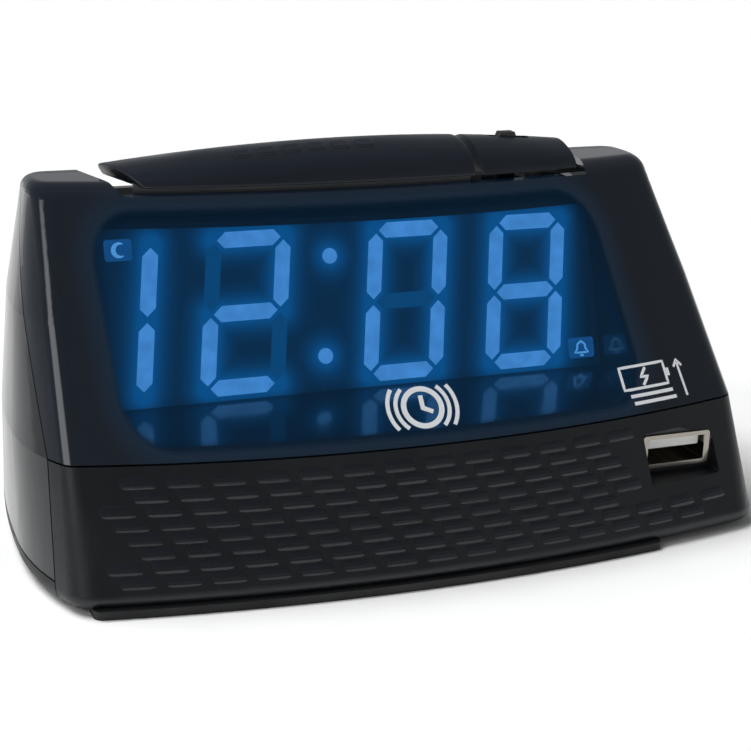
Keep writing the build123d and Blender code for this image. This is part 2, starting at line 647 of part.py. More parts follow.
with BuildPart() as socket_contacts:
    with BuildSketch(socket_plane.offset(-SOCKET_LENGTH + 0.8)):
        with Locations(*[(x, TONGUE_Z - TONGUE_H / 2 - 0.1) for x in (-3.5, -1.0, 1.0, 3.5)]):
            Rectangle(1.0, 0.2)
    extrude(amount=SOCKET_LENGTH - 3.2)
save(socket_contacts, "socket_contacts")

with BuildPart() as charging_board:
    add(block((41.0, 58.4), (SOCKET_Y + 4, 3.0),
              (SOCKET_Z - SOCKET_H / 2 - 0.05 - 1.2, SOCKET_Z - SOCKET_H / 2 - 0.05)))
save(charging_board, "charging_board")

with BuildPart() as charging_parts:
    board_top = SOCKET_Z - SOCKET_H / 2 - 0.05
    add(block((43, 48), (-6.5, -1.5), (board_top, board_top + 1.6)))
    add(block((50.5, 57.5), (-7.5, -0.5), (board_top, board_top + 3.2)))
    with BuildSketch(Plane.XY.offset(board_top)):
        with Locations((46, -4 + 4.8)):
            Circle(1.5)
    extrude(amount=4.5)
save(charging_parts, "charging_parts")

# ---------------------------------------------------------------- rear controls
BUTTON_NAMES = ("time_button", "alarm_button", "hour_button", "minute_button")
stem_end_y = MAIN_BOARD_Y + BOARD + TACT_H + STEM_H
for button_name, x in zip(BUTTON_NAMES, BUTTON_X):
    with BuildPart() as button:
        with BuildSketch(Plane.XZ.offset(-BUTTON_FACE_Y)):
            with Locations((x, BUTTON_Z)):
                RectangleRounded(BUTTON_W, BUTTON_H, 1.0)
        extrude(amount=BUTTON_FACE_Y - (REAR_Y - WALL - 1.4))
        with BuildSketch(Plane.XZ.offset(-(REAR_Y - WALL - 0.2))):
            with Locations((x, BUTTON_Z)):
                RectangleRounded(BUTTON_W + 2.0, BUTTON_H + 2.0, 1.0)
        extrude(amount=1.2)
        with BuildSketch(Plane.XZ.offset(-(REAR_Y - WALL - 1.3))):
            with Locations((x, BUTTON_Z)):
                Circle(1.5)
        extrude(amount=REAR_Y - WALL - 1.3 - (stem_end_y + BUTTON_TRAVEL + 0.1))
        chamfer(button.faces().sort_by(Axis.Y)[-1].edges(), 0.35)
    save(button, button_name)

with BuildPart() as rear_tact_switches:
    for x in BUTTON_X:
        add(block((x - TACT / 2, x + TACT / 2), (MAIN_BOARD_Y + BOARD, MAIN_BOARD_Y + BOARD + TACT_H),
                  (BUTTON_Z - TACT / 2, BUTTON_Z + TACT / 2)))
    with BuildSketch(Plane.XZ.offset(-stem_end_y)):
        with Locations(*[(x, BUTTON_Z) for x in BUTTON_X]):
            Circle(1.7)
    extrude(amount=STEM_H)
save(rear_tact_switches, "rear_tact_switches")

with BuildPart() as dimmer_switch_body:
    add(block((DIMMER_X - 5.5, DIMMER_X + 5.5), (MAIN_BOARD_Y + BOARD, 29.5),
              (BUTTON_Z - 2.8, BUTTON_Z + 2.8)))
save(dimmer_switch_body, "dimmer_switch_body")

with BuildPart() as dimmer_knob:
    with BuildSketch(Plane.XZ.offset(-29.7)):
        with Locations((DIMMER_X, BUTTON_Z)):
            RectangleRounded(4.0, 2.4, 0.5)
    extrude(amount=-(REAR_Y + 0.6 - 29.7))
    with BuildSketch(Plane.XZ.offset(-(REAR_Y + 0.6))):
        with Locations((DIMMER_X - 1.2, BUTTON_Z), (DIMMER_X, BUTTON_Z), (DIMMER_X + 1.2, BUTTON_Z)):
            Rectangle(0.4, 2.4)
    extrude(amount=0.3, mode=Mode.SUBTRACT)
save(dimmer_knob, "dimmer_knob")

with BuildPart() as main_board:
    add(block((-54, 54), (MAIN_BOARD_Y, MAIN_BOARD_Y + BOARD), (17.5, 45.0)))
save(main_board, "main_board")

with BuildPart() as board_parts:
    front_side = MAIN_BOARD_Y
    add(block((-12, 4), (front_side - 2.0, front_side), (22, 32)))
    add(block((14, 20), (front_side - 1.6, front_side), (22, 26)))
    add(block((-32, -24), (front_side - 3.0, front_side), (30, 38)))
    with BuildSketch(Plane.XZ.offset(-(front_side - 5.0))):
        with Locations((-40, 22), (28, 22), (34, 30)):
            Circle(2.5)
    extrude(amount=-5.0)
save(board_parts, "board_parts")

with BuildPart() as power_inlet:
    add(block((INLET_X - 4.5, INLET_X + 4.5), (21.0, REAR_Y - WALL - 0.1), (INLET_Z - 5.0, INLET_Z + 5.0)))
    with BuildSketch(Plane.XZ.offset(-(REAR_Y - 0.4))):
        with Locations((INLET_X, INLET_Z)):
            Circle(INLET_R + 1.4)
    extrude(amount=WALL)
    with BuildSketch(Plane.XZ.offset(-40)):
        with Locations((INLET_X, INLET_Z)):
            Circle(INLET_R)
    extrude(amount=40 - 24.0, mode=Mode.SUBTRACT)
save(power_inlet, "power_inlet")

with BuildPart() as inlet_pin:
    with BuildSketch(Plane.XZ.offset(-(REAR_Y - 1.6))):
        with Locations((INLET_X, INLET_Z)):
            Circle(INLET_PIN_R)
    extrude(amount=REAR_Y - 1.6 - 24.0)
    fillet(inlet_pin.edges().sort_by(Axis.Y)[-1], 0.4)
save(inlet_pin, "inlet_pin")

with BuildPart() as buzzer:
    with BuildSketch(Plane.XZ.offset(-(REAR_Y - WALL - 0.3))):
        with Locations((BUZZER_X, BUZZER_Z)):
            Circle(BUZZER_R)
    extrude(amount=4.2)
    with BuildSketch(Plane.XZ.offset(-(REAR_Y - WALL - 0.3))):
        with Locations((BUZZER_X, BUZZER_Z)):
            Circle(1.6)
    extrude(amount=1.5, mode=Mode.SUBTRACT)
save(buzzer, "buzzer")

# ---------------------------------------------------------------- wiring and backup cells
wire_r = 0.55
with BuildPart() as buzzer_wires:
    for dx in (-1.5, 1.5):
        start = (BUZZER_X + dx, REAR_Y - WALL - 0.3 - 4.2, BUZZER_Z + 4)
        with BuildLine() as path:
            FilletPolyline(start, (start[0], start[1] - 1.8, start[2]),
                           (start[0], start[1] - 1.8, start[2] + 6),
                           (start[0], MAIN_BOARD_Y + BOARD, start[2] + 6), radius=0.8)
        with BuildSketch(Plane(origin=start, z_dir=(0, -1, 0))) as wire_round:
            Circle(wire_r)
        sweep(sections=wire_round.sketch, path=path.line)
save(buzzer_wires, "buzzer_wires")

with BuildPart() as ribbon_cable:
    with BuildSketch(Plane.YZ.offset(-22.5)):
        with BuildLine():
            FilletPolyline((14.0, 24.2), (17.0, 23.1), (19.0, 28.0), (20.3, 21.0), (22.1, 21.0), radius=0.8)
            offset(amount=0.3, side=Side.BOTH)
        make_face()
    extrude(amount=10)
save(ribbon_cable, "ribbon_cable")

with BuildPart() as backup_cells:
    for y in CELL_Y:
        with BuildSketch(Plane.YZ.offset(-CELL_LENGTH / 2)):
            with Locations((y, CELL_Z)):
                Circle(CELL_R)
        extrude(amount=CELL_LENGTH - 1.0)
        with BuildSketch(Plane.YZ.offset(CELL_LENGTH / 2 - 1.0)):
            with Locations((y, CELL_Z)):
                Circle(1.9)
        extrude(amount=1.0)
save(backup_cells, "backup_cells")

with BuildPart() as cell_contacts:
    for y in CELL_Y:
        for x0, x1 in ((-23.5, -22.1), (22.1, 23.5)):
            add(block((x0, x1), (y - 3.5, y + 3.5), (CELL_Z - 4, CELL_Z + 4)))
save(cell_contacts, "cell_contacts")
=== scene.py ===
# %% [markdown]
# # A bedside alarm clock
# The clock is a black moulded case with a smoked cover over its digits, a snooze bar on top and
# a woven-look band below. Its solid parts come from a CAD model that is already the right size
# and shape. Blender adds what the eye needs: materials, light, the glow of the digits and the
# fine relief. All lengths are in metres, +Z is up and the digits face -Y.

import math

import bmesh
import bpy
import numpy as np
from mathutils import Matrix, Vector


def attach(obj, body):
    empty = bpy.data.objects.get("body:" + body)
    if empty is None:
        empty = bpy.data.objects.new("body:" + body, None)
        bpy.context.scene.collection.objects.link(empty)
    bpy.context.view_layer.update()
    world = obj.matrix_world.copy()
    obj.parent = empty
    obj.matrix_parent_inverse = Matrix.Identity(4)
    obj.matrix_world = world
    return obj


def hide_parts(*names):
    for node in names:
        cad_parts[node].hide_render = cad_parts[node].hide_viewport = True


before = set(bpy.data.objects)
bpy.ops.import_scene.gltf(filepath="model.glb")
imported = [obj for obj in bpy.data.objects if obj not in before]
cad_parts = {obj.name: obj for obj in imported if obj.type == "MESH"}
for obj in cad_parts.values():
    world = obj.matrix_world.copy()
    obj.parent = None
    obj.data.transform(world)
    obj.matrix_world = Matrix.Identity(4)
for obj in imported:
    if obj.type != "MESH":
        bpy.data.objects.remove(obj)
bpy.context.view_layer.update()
MM = 0.001

# %% [markdown]
# ## Camera
# The camera stands left of the clock and a little above it, with a short telephoto lens, so the
# left side and the top both show. Its three axes are given directly, because the view is also
# rolled by less than two degrees, which is awkward to write as angles. Blender's camera looks
# down its own -Z, so the third column of its matrix is the forward axis turned round.

# %% Camera
CAMERA_PLACE = (-0.1166, -0.2829, 0.1273)
CAMERA_RIGHT = (0.9303, -0.3655, 0.0292)
CAMERA_UP = (0.0886, 0.3013, 0.9494)
CAMERA_FORWARD = (0.3558, 0.8807, -0.3127)
LENS_MM, SENSOR_MM = 80.94, 36.0

camera_data = bpy.data.cameras.new("view_camera")
camera_data.sensor_width = SENSOR_MM
camera_data.lens = LENS_MM
camera_data.clip_start = 0.01
camera_data.clip_end = 50.0
camera = bpy.data.objects.new("view_camera", camera_data)
bpy.context.scene.collection.objects.link(camera)
camera.matrix_world = Matrix((
    (CAMERA_RIGHT[0], CAMERA_UP[0], -CAMERA_FORWARD[0], CAMERA_PLACE[0]),
    (CAMERA_RIGHT[1], CAMERA_UP[1], -CAMERA_FORWARD[1], CAMERA_PLACE[1]),
    (CAMERA_RIGHT[2], CAMERA_UP[2], -CAMERA_FORWARD[2], CAMERA_PLACE[2]),
    (0.0, 0.0, 0.0, 1.0),
))
bpy.context.scene.camera = camera
bpy.context.scene.view_settings.view_transform = "Standard"
print("camera at", CAMERA_PLACE, "lens", LENS_MM)

# %% [markdown]
# ## Helpers
# Every material and every Geometry Nodes tree is made of nodes, so one small function adds a
# node, sets its fields and links what is a socket. Colours are written as sRGB hex, as a paint
# chart gives them, and turned to the linear values that Blender works with.

# %% Node and colour helpers
def linear(hex_code):
    """An sRGB colour such as #1a1b1e as linear red, green, blue and alpha, by the sRGB curve."""
    values = [int(hex_code[i:i + 2], 16) / 255 for i in (1, 3, 5)]
    return tuple(v / 12.92 if v <= 0.04045 else ((v + 0.055) / 1.055) ** 2.4 for v in values) + (1.0,)


def add_node(tree, kind, inputs=None, **settings):
    """Adds a node. Settings are its fields; inputs are values or sockets to link, by name or index."""
    node = tree.nodes.new(kind)
    for name, value in settings.items():
        setattr(node, name, value)
    for key, value in (inputs or {}).items():
        if isinstance(value, bpy.types.NodeSocket):
            tree.links.new(value, node.inputs[key])
        else:
            node.inputs[key].default_value = value
    return node


def math_node(tree, operation, *values):
    """The result of one maths operation."""
    return add_node(tree, "ShaderNodeMath", dict(enumerate(values)), operation=operation).outputs[0]


print("black plastic in linear light:", [round(v, 4) for v in linear("#1e2023")])

# %% [markdown]
# ## Moulded plastic
# Nearly all of the clock is injection-moulded ABS. The steel mould is polished for a glossy
# face and spark-eroded for a satin one, so the gloss differs far more than the colour does. A
# soft, centimetre-wide change in roughness stands for handling, and a fine noise bump for the
# mould's own texture. One function makes them all, so only the numbers differ.

# %% Moulded material and painting
ABS_IOR = 1.5
HANDLING_MM = 14
WANDER_LOW, WANDER_HIGH = 0.8, 1.25


def moulded(name, colour, roughness, grain_mm, grain_depth_mm, **sockets):
    """A moulded finish: grain_mm is its texture's size, and its roughness wanders about a mean."""
    material = bpy.data.materials.new(name)
    material.use_nodes = True
    tree = material.node_tree
    shader = tree.nodes["Principled BSDF"]
    shader.inputs["Base Color"].default_value = linear(colour)
    shader.inputs["IOR"].default_value = ABS_IOR
    for socket, value in sockets.items():
        shader.inputs[socket.replace("_", " ")].default_value = value
    place = add_node(tree, "ShaderNodeTexCoord").outputs["Object"]
    handling = add_node(tree, "ShaderNodeTexNoise", {
        "Vector": place, "Scale": 1 / (HANDLING_MM * MM), "Detail": 4.0})
    wander = add_node(tree, "ShaderNodeMapRange", {
        "Value": handling.outputs[0], "From Min": 0.3, "From Max": 0.7,
        "To Min": roughness * WANDER_LOW, "To Max": roughness * WANDER_HIGH})
    grain = add_node(tree, "ShaderNodeTexNoise", {
        "Vector": place, "Scale": 1 / (grain_mm * MM), "Detail": 2.0})
    bump = add_node(tree, "ShaderNodeBump", {
        "Height": grain.outputs[0], "Distance": grain_depth_mm * MM, "Strength": 1.0})
    tree.links.new(wander.outputs[0], shader.inputs["Roughness"])
    tree.links.new(bump.outputs[0], shader.inputs["Normal"])
    return material


def paint(node_names, material):
    """Gives CAD parts a material."""
    for node_name in node_names:
        part = cad_parts[node_name]
        if not part.material_slots:
            part.data.materials.append(material)
        for place in part.material_slots:
            place.material = material


print("moulded finishes wander from", WANDER_LOW, "to", WANDER_HIGH, "of their mean roughness")

# %% [markdown]
# Each part of the case then gets the finish of its own mould. The tray round the display is the
# glossiest: it mirrors the digits, so its IOR is raised above that of plain ABS, and its base
# colour is tinted blue as a painted glow from the digits. The floor of the button channel gets a
# darker base colour as painted shade and is the dullest, so that no highlight shows in the gap.

# %% Moulded parts of the clock
# from a polished mould: the sides of the case mirror the floor softly
black_gloss = moulded("polished_black_ABS", "#15181c", 0.14, 9.0, 0.004)
paint(["rear_case"], black_gloss)
# from a fine satin mould: a broad, soft highlight along the crown of the bar
black_satin = moulded("satin_black_ABS", "#1a2028", 0.36, 0.55, 0.010)
paint(["snooze_bar", "switch_pod"], black_satin)
# satin too, a shade darker, so that the woven relief on it stands out
black_band = moulded("band_black_ABS", "#13161a", 0.38, 0.6, 0.012)
paint(["lower_bezel"], black_band)
# spark-eroded: a dry, even black that takes finger marks well
black_matte = moulded("eroded_black_ABS", "#1a1b1d", 0.5, 0.4, 0.02)
paint(["base_cover", "battery_door", "alarm_switch_knob", "time_button", "alarm_button",
       "hour_button", "minute_button", "dimmer_knob"], black_matte)
# rubber scatters nearly all it reflects, so the feet look flat beside the plastic
black_rubber = moulded("moulded_rubber", "#17181a", 0.62, 0.5, 0.03)
paint(["foot_strip", "rear_feet"], black_rubber)
# a mirror-like funnel that shows the digits upside down below them; its blue base colour is a painted
# glow from the digits
tray_black_painted_glow = moulded("tray_ABS_painted_blue_glow", "#0b1a2c", 0.13, 12.0, 0.002, IOR=2.0)
paint(["display_tray"], tray_black_painted_glow)
# the channel's floor, almost without gloss; its darker base colour is painted shade
channel_black_painted_shade = moulded("channel_ABS_painted_shade", "#0c0d0f", 0.7, 0.4, 0.02, Specular_IOR_Level=0.15)
paint(["button_tray"], channel_black_painted_shade)
# switch bodies and chips: a greyish, waxy black
thermoset = moulded("component_thermoset", "#141414", 0.45, 0.4, 0.01)
paint(["power_inlet", "buzzer", "snooze_switches", "alarm_switch_body", "dimmer_switch_body",
       "rear_tact_switches", "charging_parts", "board_parts"], thermoset)
print("moulded plastics:", len(bpy.data.materials), "materials in the file so far")

# %% [markdown]
# ## Metals and boards
# The charging socket is nickel-plated steel with a white nylon tongue and gold-plated contacts.
# The parts inside the case are mostly hidden, but they still get what they are made of: glass
# fibre boards with green solder mask, and zinc-plated screws, cells and springs. A metal has no
# colour under its gloss, so its base colour is the colour of what it mirrors.

# %% Metals, boards and nylon
# warm, bright plating that catches the light on the socket's rim
nickel = moulded("nickel_plated_steel", "#9b968d", 0.22, 0.8, 0.004, Metallic=1.0)
# cooler and duller than nickel
zinc = moulded("zinc_plated_steel", "#8f9094", 0.34, 0.5, 0.006, Metallic=1.0)
# thin yellow lines on the tongue
gold = moulded("gold_plated_contact", "#d9b45c", 0.2, 0.5, 0.003, Metallic=1.0)
# off-white and slightly waxy
nylon = moulded("white_nylon", "#e9e9e6", 0.35, 0.6, 0.008)
# dark green with a wet-looking lacquer
solder_mask = moulded("solder_mask_board", "#12402a", 0.3, 0.7, 0.01)
# soft vinyl on the buzzer's wires and the flat ribbon
red_vinyl = moulded("red_wire_insulation", "#8a1a16", 0.4, 0.8, 0.01)
grey_vinyl = moulded("grey_ribbon_insulation", "#8c8c8c", 0.45, 1.0, 0.02)
paint(["charging_socket", "inlet_pin"], nickel)
paint(["case_screws", "backup_cells", "cell_contacts"], zinc)
paint(["socket_contacts"], gold)
paint(["socket_tongue"], nylon)
paint(["led_board", "key_board", "charging_board", "main_board"], solder_mask)
paint(["buzzer_wires"], red_vinyl)
paint(["ribbon_cable"], grey_vinyl)
print("metals, boards and wires:", len(bpy.data.materials), "materials in the file so far")

# %% [markdown]
# ## Smoked cover
# The cover is one tinted acrylic moulding, painted black from behind except for a window in
# front of the digits. A ray passes both faces of the sheet and is dimmed by each of them, so what
# comes through is the square of what one face lets through. The painted border lets nothing
# through. Over the window the sheet has a faint blue painted glow, which stands for the digits' light
# scattered in it.

# %% Smoked acrylic with a painted border
WINDOW_MIDDLE = (-4.6 * MM, 41.4 * MM)
WINDOW_HALF = (50.9 * MM, 18.4 * MM)
WINDOW_CORNER = 9.0 * MM
WINDOW_FADE = 1.6 * MM
WINDOW_ALPHA = 0.5
GLOW_HAZE_REACH = 5.0 * MM
PAINT_BLACK, TINT_BLACK = "#1c222a", "#04060a"

# polished so well that only its edges and corners catch the light
smoked = moulded("smoked_acrylic", PAINT_BLACK, 0.05, 16.0, 0.002)
tree = smoked.node_tree
shader = tree.nodes["Principled BSDF"]
cover_place = add_node(tree, "ShaderNodeTexCoord").outputs["Object"]
axes = add_node(tree, "ShaderNodeSeparateXYZ", {"Vector": cover_place}).outputs
reach = []
for axis, middle, half in ((axes["X"], WINDOW_MIDDLE[0], WINDOW_HALF[0]),
                           (axes["Z"], WINDOW_MIDDLE[1], WINDOW_HALF[1])):
    off = math_node(tree, "ABSOLUTE", math_node(tree, "SUBTRACT", axis, middle))
    beyond = math_node(tree, "SUBTRACT", off, half - WINDOW_CORNER)
    reach.append(math_node(tree, "MAXIMUM", beyond, 0.0))
round_reach = math_node(tree, "SQRT", math_node(
    tree, "ADD", math_node(tree, "POWER", reach[0], 2.0), math_node(tree, "POWER", reach[1], 2.0)))
border = add_node(tree, "ShaderNodeMapRange", {
    "Value": round_reach, "From Min": WINDOW_CORNER - WINDOW_FADE, "From Max": WINDOW_CORNER,
    "To Min": WINDOW_ALPHA, "To Max": 1.0}, interpolation_type="SMOOTHSTEP")
tree.links.new(border.outputs[0], shader.inputs["Alpha"])
painted = math_node(tree, "MULTIPLY_ADD", border.outputs[0], 1 / (1 - WINDOW_ALPHA),
                    -WINDOW_ALPHA / (1 - WINDOW_ALPHA))
tint = add_node(tree, "ShaderNodeMix", {
    0: painted, 6: linear(TINT_BLACK), 7: linear(PAINT_BLACK)}, data_type="RGBA")
tree.links.new(tint.outputs[2], shader.inputs["Base Color"])
# painted glow: the cover emits a faint blue over the window, fading out past its edge
painted_haze_glow = add_node(tree, "ShaderNodeMapRange", {
    "Value": round_reach, "From Min": WINDOW_CORNER - GLOW_HAZE_REACH,
    "From Max": WINDOW_CORNER + GLOW_HAZE_REACH, "To Min": 1.0, "To Max": 0.0},
    interpolation_type="SMOOTHSTEP")
tree.links.new(painted_haze_glow.outputs[0], shader.inputs["Emission Strength"])
shader.inputs["Emission Color"].default_value = linear("#001e34")
paint(["display_cover"], smoked)
print("window", [round(2 * v / MM, 1) for v in WINDOW_HALF], "mm")

# %% [markdown]
# ## The digits' glow
# Light from each bar spreads sideways in the diffuser and in the smoked sheet, so the bars have
# a halo and the whole field is dark blue. The display's face becomes a fine grid, and each of
# its points gets a colour from its distance to the lit bars. The ends of the bars are worked out
# from the digit's height, width and slant, as on a data sheet, and a letter names each bar.

# %% Lit bars of the four digits
LED_LEAN = math.radians(19.7)
LED_MIDDLE = (-4.0, 8.25, 38.9)
LED_HALF_WIDTH, LED_DEPTH = 52.0, 5.4
LED_LOW, LED_HIGH = -16.2, 17.6
DIGIT_HALF_WIDTH, DIGIT_HALF_HEIGHT = 6.8, 13.75
DIGIT_SLANT = math.tan(math.radians(8.2))
DIGIT_MIDDLES = (-51.2, -25.5, 7.0, 32.75)
LIT_BARS = ("bc", "abged", "abcdef", "abcdefg")
W, H = DIGIT_HALF_WIDTH, DIGIT_HALF_HEIGHT
BAR_ENDS = {"a": ((-W, H), (W, H)), "b": ((W, H), (W, 0)), "c": ((W, 0), (W, -H)),
            "d": ((-W, -H), (W, -H)), "e": ((-W, 0), (-W, -H)), "f": ((-W, H), (-W, 0)),
            "g": ((-W, 0), (W, 0))}
COLON_DOTS = ((-7.83, 9.5), (-10.57, -9.5))
DOT_LENGTH = 0.01


def slanted(point, middle):
    """A point of an upright digit, moved to the digit's place and leaned over."""
    return np.array((middle + point[0] + point[1] * DIGIT_SLANT, point[1]))


def led_point(across, up, depth=0.0):
    """A point on the display's leaning face, in metres, from lengths in mm."""
    return Vector((across * MM,
                   (LED_MIDDLE[1] + up * math.sin(LED_LEAN) + depth * math.cos(LED_LEAN)) * MM,
                   (LED_MIDDLE[2] + up * math.cos(LED_LEAN) - depth * math.sin(LED_LEAN)) * MM))


lit_lines = [(slanted(BAR_ENDS[bar][0], middle), slanted(BAR_ENDS[bar][1], middle))
             for middle, bars in zip(DIGIT_MIDDLES, LIT_BARS) for bar in bars]
lit_lines += [(np.array(dot), np.array(dot) + DOT_LENGTH) for dot in COLON_DOTS]
print("lit bars:", len(lit_lines))

# %% [markdown]
# The display block is a shallow box whose front is a grid. The grid is dense enough, at 0.6 mm,
# for a halo that fades over about 2 mm. The front lies just behind the bars' own faces, so that
# the bars stand out of it.

# %% Display block
GRID_STEP = 0.6
FACE_DEPTH = 0.12


def mesh_object(name, vertices, faces, material, body="case", smooth=True):
    """A finished piece that rides on a body, with its place in its mesh."""
    mesh = bpy.data.meshes.new(name)
    mesh.from_pydata([tuple(v) for v in vertices], [], faces)
    mesh.materials.append(material)
    mesh.polygons.foreach_set("use_smooth", [smooth] * len(mesh.polygons))
    mesh.update()
    piece = bpy.data.objects.new(name, mesh)
    bpy.context.scene.collection.objects.link(piece)
    if body:
        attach(piece, body)
    return piece


columns = int(2 * LED_HALF_WIDTH / GRID_STEP) + 1
rows = int((LED_HIGH - LED_LOW) / GRID_STEP) + 1
across = np.linspace(LED_MIDDLE[0] - LED_HALF_WIDTH, LED_MIDDLE[0] + LED_HALF_WIDTH, columns)
upward = np.linspace(LED_LOW, LED_HIGH, rows)
flat = np.array([(u, v) for v in upward for u in across])
face_points = [led_point(u, v, FACE_DEPTH) for u, v in flat]
face_quads = [(r * columns + c, r * columns + c + 1, (r + 1) * columns + c + 1, (r + 1) * columns + c)
              for r in range(rows - 1) for c in range(columns - 1)]
rim = (list(range(columns)) + [r * columns + columns - 1 for r in range(1, rows)]
       + [(rows - 1) * columns + c for c in range(columns - 2, -1, -1)]
       + [r * columns for r in range(rows - 2, 0, -1)])
first_back = len(face_points)
face_points += [led_point(*flat[i], LED_DEPTH) for i in rim]
face_quads += [(rim[i], first_back + i, first_back + (i + 1) % len(rim), rim[(i + 1) % len(rim)])
               for i in range(len(rim))]
face_quads.append(tuple(first_back + i for i in reversed(range(len(rim)))))
print("grid of", columns, "by", rows, "points")

# %% [markdown]
# Two lights add up on the grid. The halo depends on the nearest bar and falls off fast. The field
# is a dim light that all the bars throw together, and it is darkest near the display's edges.
# Both are made brighter by as much as the cover will dim them.

# %% Glow of the display face
THROUGH_COVER = (1 - WINDOW_ALPHA) ** 2
HALO_COLOUR = np.array(linear("#004176")[:3])
HALO_START, HALO_REACH, HALO_POWER = 1.5, 1.9, 1.2
HALO_EDGE_FADE = 3
FIELD_COLOUR = np.array(linear("#001a34")[:3])
FIELD_REACH, FIELD_FULL, FIELD_LEAST = 9.0, 2.2, 0.6
EDGE_FADE, EDGE_LEAST, EDGE_SPARE = 5.0, 0.4, 3.0


def distance_to(line, points):
    """How far each point is from a line between two points."""
    start, end = line
    along = end - start
    t = np.clip(((points - start) @ along) / (along @ along), 0, 1)
    return np.linalg.norm(points - start - t[:, None] * along, axis=1)


nearest = np.min([distance_to(line, flat) for line in lit_lines], axis=0)
halo = np.exp(-(np.clip(nearest - HALO_START, 0, None) / HALO_REACH) ** HALO_POWER)
spread = sum(np.exp(-(distance_to(line, flat) / FIELD_REACH) ** 2) for line in lit_lines)
edge = np.minimum(flat[:, 0] - across[0], across[-1] - flat[:, 0])
edge = np.minimum(edge, np.minimum(flat[:, 1] - LED_LOW, LED_HIGH - flat[:, 1]) + EDGE_SPARE)
field = FIELD_LEAST + (1 - FIELD_LEAST) * np.clip(spread / FIELD_FULL, 0, 1)
field *= np.clip(edge / EDGE_FADE, EDGE_LEAST, 1)
halo *= np.clip(edge / HALO_EDGE_FADE, 0, 1)
glow = (field[:, None] * FIELD_COLOUR + halo[:, None] * HALO_COLOUR) / THROUGH_COVER
print("glow from", glow.min(0).round(3), "to", glow.max(0).round(3))

# %% [markdown]
# The glow is stored in a colour attribute, which belongs to the mesh, so it needs no image. The
# material is the display's dark front sheet, and it shines with the attribute's colour.

# %% Diffuser material and the display face
# a dark, slightly milky polycarbonate: black where no light reaches it
diffuser = moulded("display_diffuser", "#040608", 0.25, 1.2, 0.004)
tree = diffuser.node_tree
shader = tree.nodes["Principled BSDF"]
glow_colour = add_node(tree, "ShaderNodeAttribute", attribute_name="glow").outputs["Color"]
tree.links.new(glow_colour, shader.inputs["Emission Color"])
shader.inputs["Emission Strength"].default_value = 1.0
display_face = mesh_object("display_face", face_points, face_quads, diffuser, smooth=False)
colours = display_face.data.color_attributes.new("glow", "FLOAT_COLOR", "POINT")
padded_glow = np.zeros((len(face_points), 4), np.float32)
padded_glow[:len(glow), :3] = glow
padded_glow[:, 3] = 1.0
colours.data.foreach_set("color", padded_glow.ravel())
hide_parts("led_frame")
print("display face triangles:", 2 * len(face_quads))

# %% [markdown]
# ## Lit and unlit bars
# Each bar is a clear epoxy light pipe. A lit one looks nearly even, with faint brighter patches
# where the epoxy is cloudy. The unlit bars of a digit stay as dark windows with an even painted
# glow that stands for a little of their neighbours' light. The two small icon windows are lit
# more weakly than the bars.

# %% Lit bars, dots and dark bars
CLOUD_MM = 3.0
CLOUD_LOW, CLOUD_HIGH = 0.88, 1.12


def lit_epoxy(name, colour, strength):
    """Epoxy that glows: its brightness drifts a little from place to place."""
    material = moulded(name, "#0a1420", 0.3, 0.8, 0.004)
    tree = material.node_tree
    shader = tree.nodes["Principled BSDF"]
    place = add_node(tree, "ShaderNodeTexCoord").outputs["Object"]
    clouds = add_node(tree, "ShaderNodeTexNoise", {
        "Vector": place, "Scale": 1 / (CLOUD_MM * MM), "Detail": 2.0})
    amount = add_node(tree, "ShaderNodeMapRange", {
        "Value": clouds.outputs[0], "From Min": 0.3, "From Max": 0.7,
        "To Min": strength * CLOUD_LOW, "To Max": strength * CLOUD_HIGH})
    shader.inputs["Emission Color"].default_value = linear(colour)
    tree.links.new(amount.outputs[0], shader.inputs["Emission Strength"])
    return material


# a flat, bright blue that outshines everything round it
lit_blue = lit_epoxy("lit_blue_epoxy", "#3c7dc2", 1 / THROUGH_COVER)
# a deeper blue, behind the icons
window_blue = lit_epoxy("lit_indicator_epoxy", "#0f4f8c", 0.7 / THROUGH_COVER)
# a murky blue with an even painted glow over the whole bar, for the light of the lit bars beside it
unlit_blue_painted_glow = moulded("unlit_epoxy_painted_glow", "#02101e", 0.3, 0.8, 0.004,
                    Emission_Color=linear("#003c6a"), Emission_Strength=1 / THROUGH_COVER)
paint(["lit_segments", "colon_dots"], lit_blue)
paint(["evening_indicator", "alarm_indicator"], window_blue)
paint(["unlit_segments"], unlit_blue_painted_glow)
print("share of the light that comes through the cover:", THROUGH_COVER)

# %% [markdown]
# ## Ribbons of ink and light
# The printed marks and the two small lit icons are flat strokes. A stroke is a thin closed
# ribbon that follows a line of points, and a mapping function lays it on the bowed cover or on
# the display. The real clock has words there. These are plain pictograms instead: a clock, a
# battery with a bolt, a moon for the evening and a bell for the alarm.

# %% Stroke builder
STROKE_STEP = 0.9


def arc_points(centre, radius, start, end, count):
    """Points on an arc, angles in degrees."""
    return [(centre[0] + radius * math.cos(a), centre[1] + radius * math.sin(a))
            for a in np.radians(np.linspace(start, end, count))]


def finely(points, step, closed):
    """The same line with points no further apart than step."""
    out = []
    for a, b in zip(points, points[1:] + (points[:1] if closed else [])):
        count = max(1, math.ceil(math.dist(a, b) / step))
        out += [(a[0] + (b[0] - a[0]) * i / count, a[1] + (b[1] - a[1]) * i / count)
                for i in range(count)]
    return out if closed else out + [points[-1]]


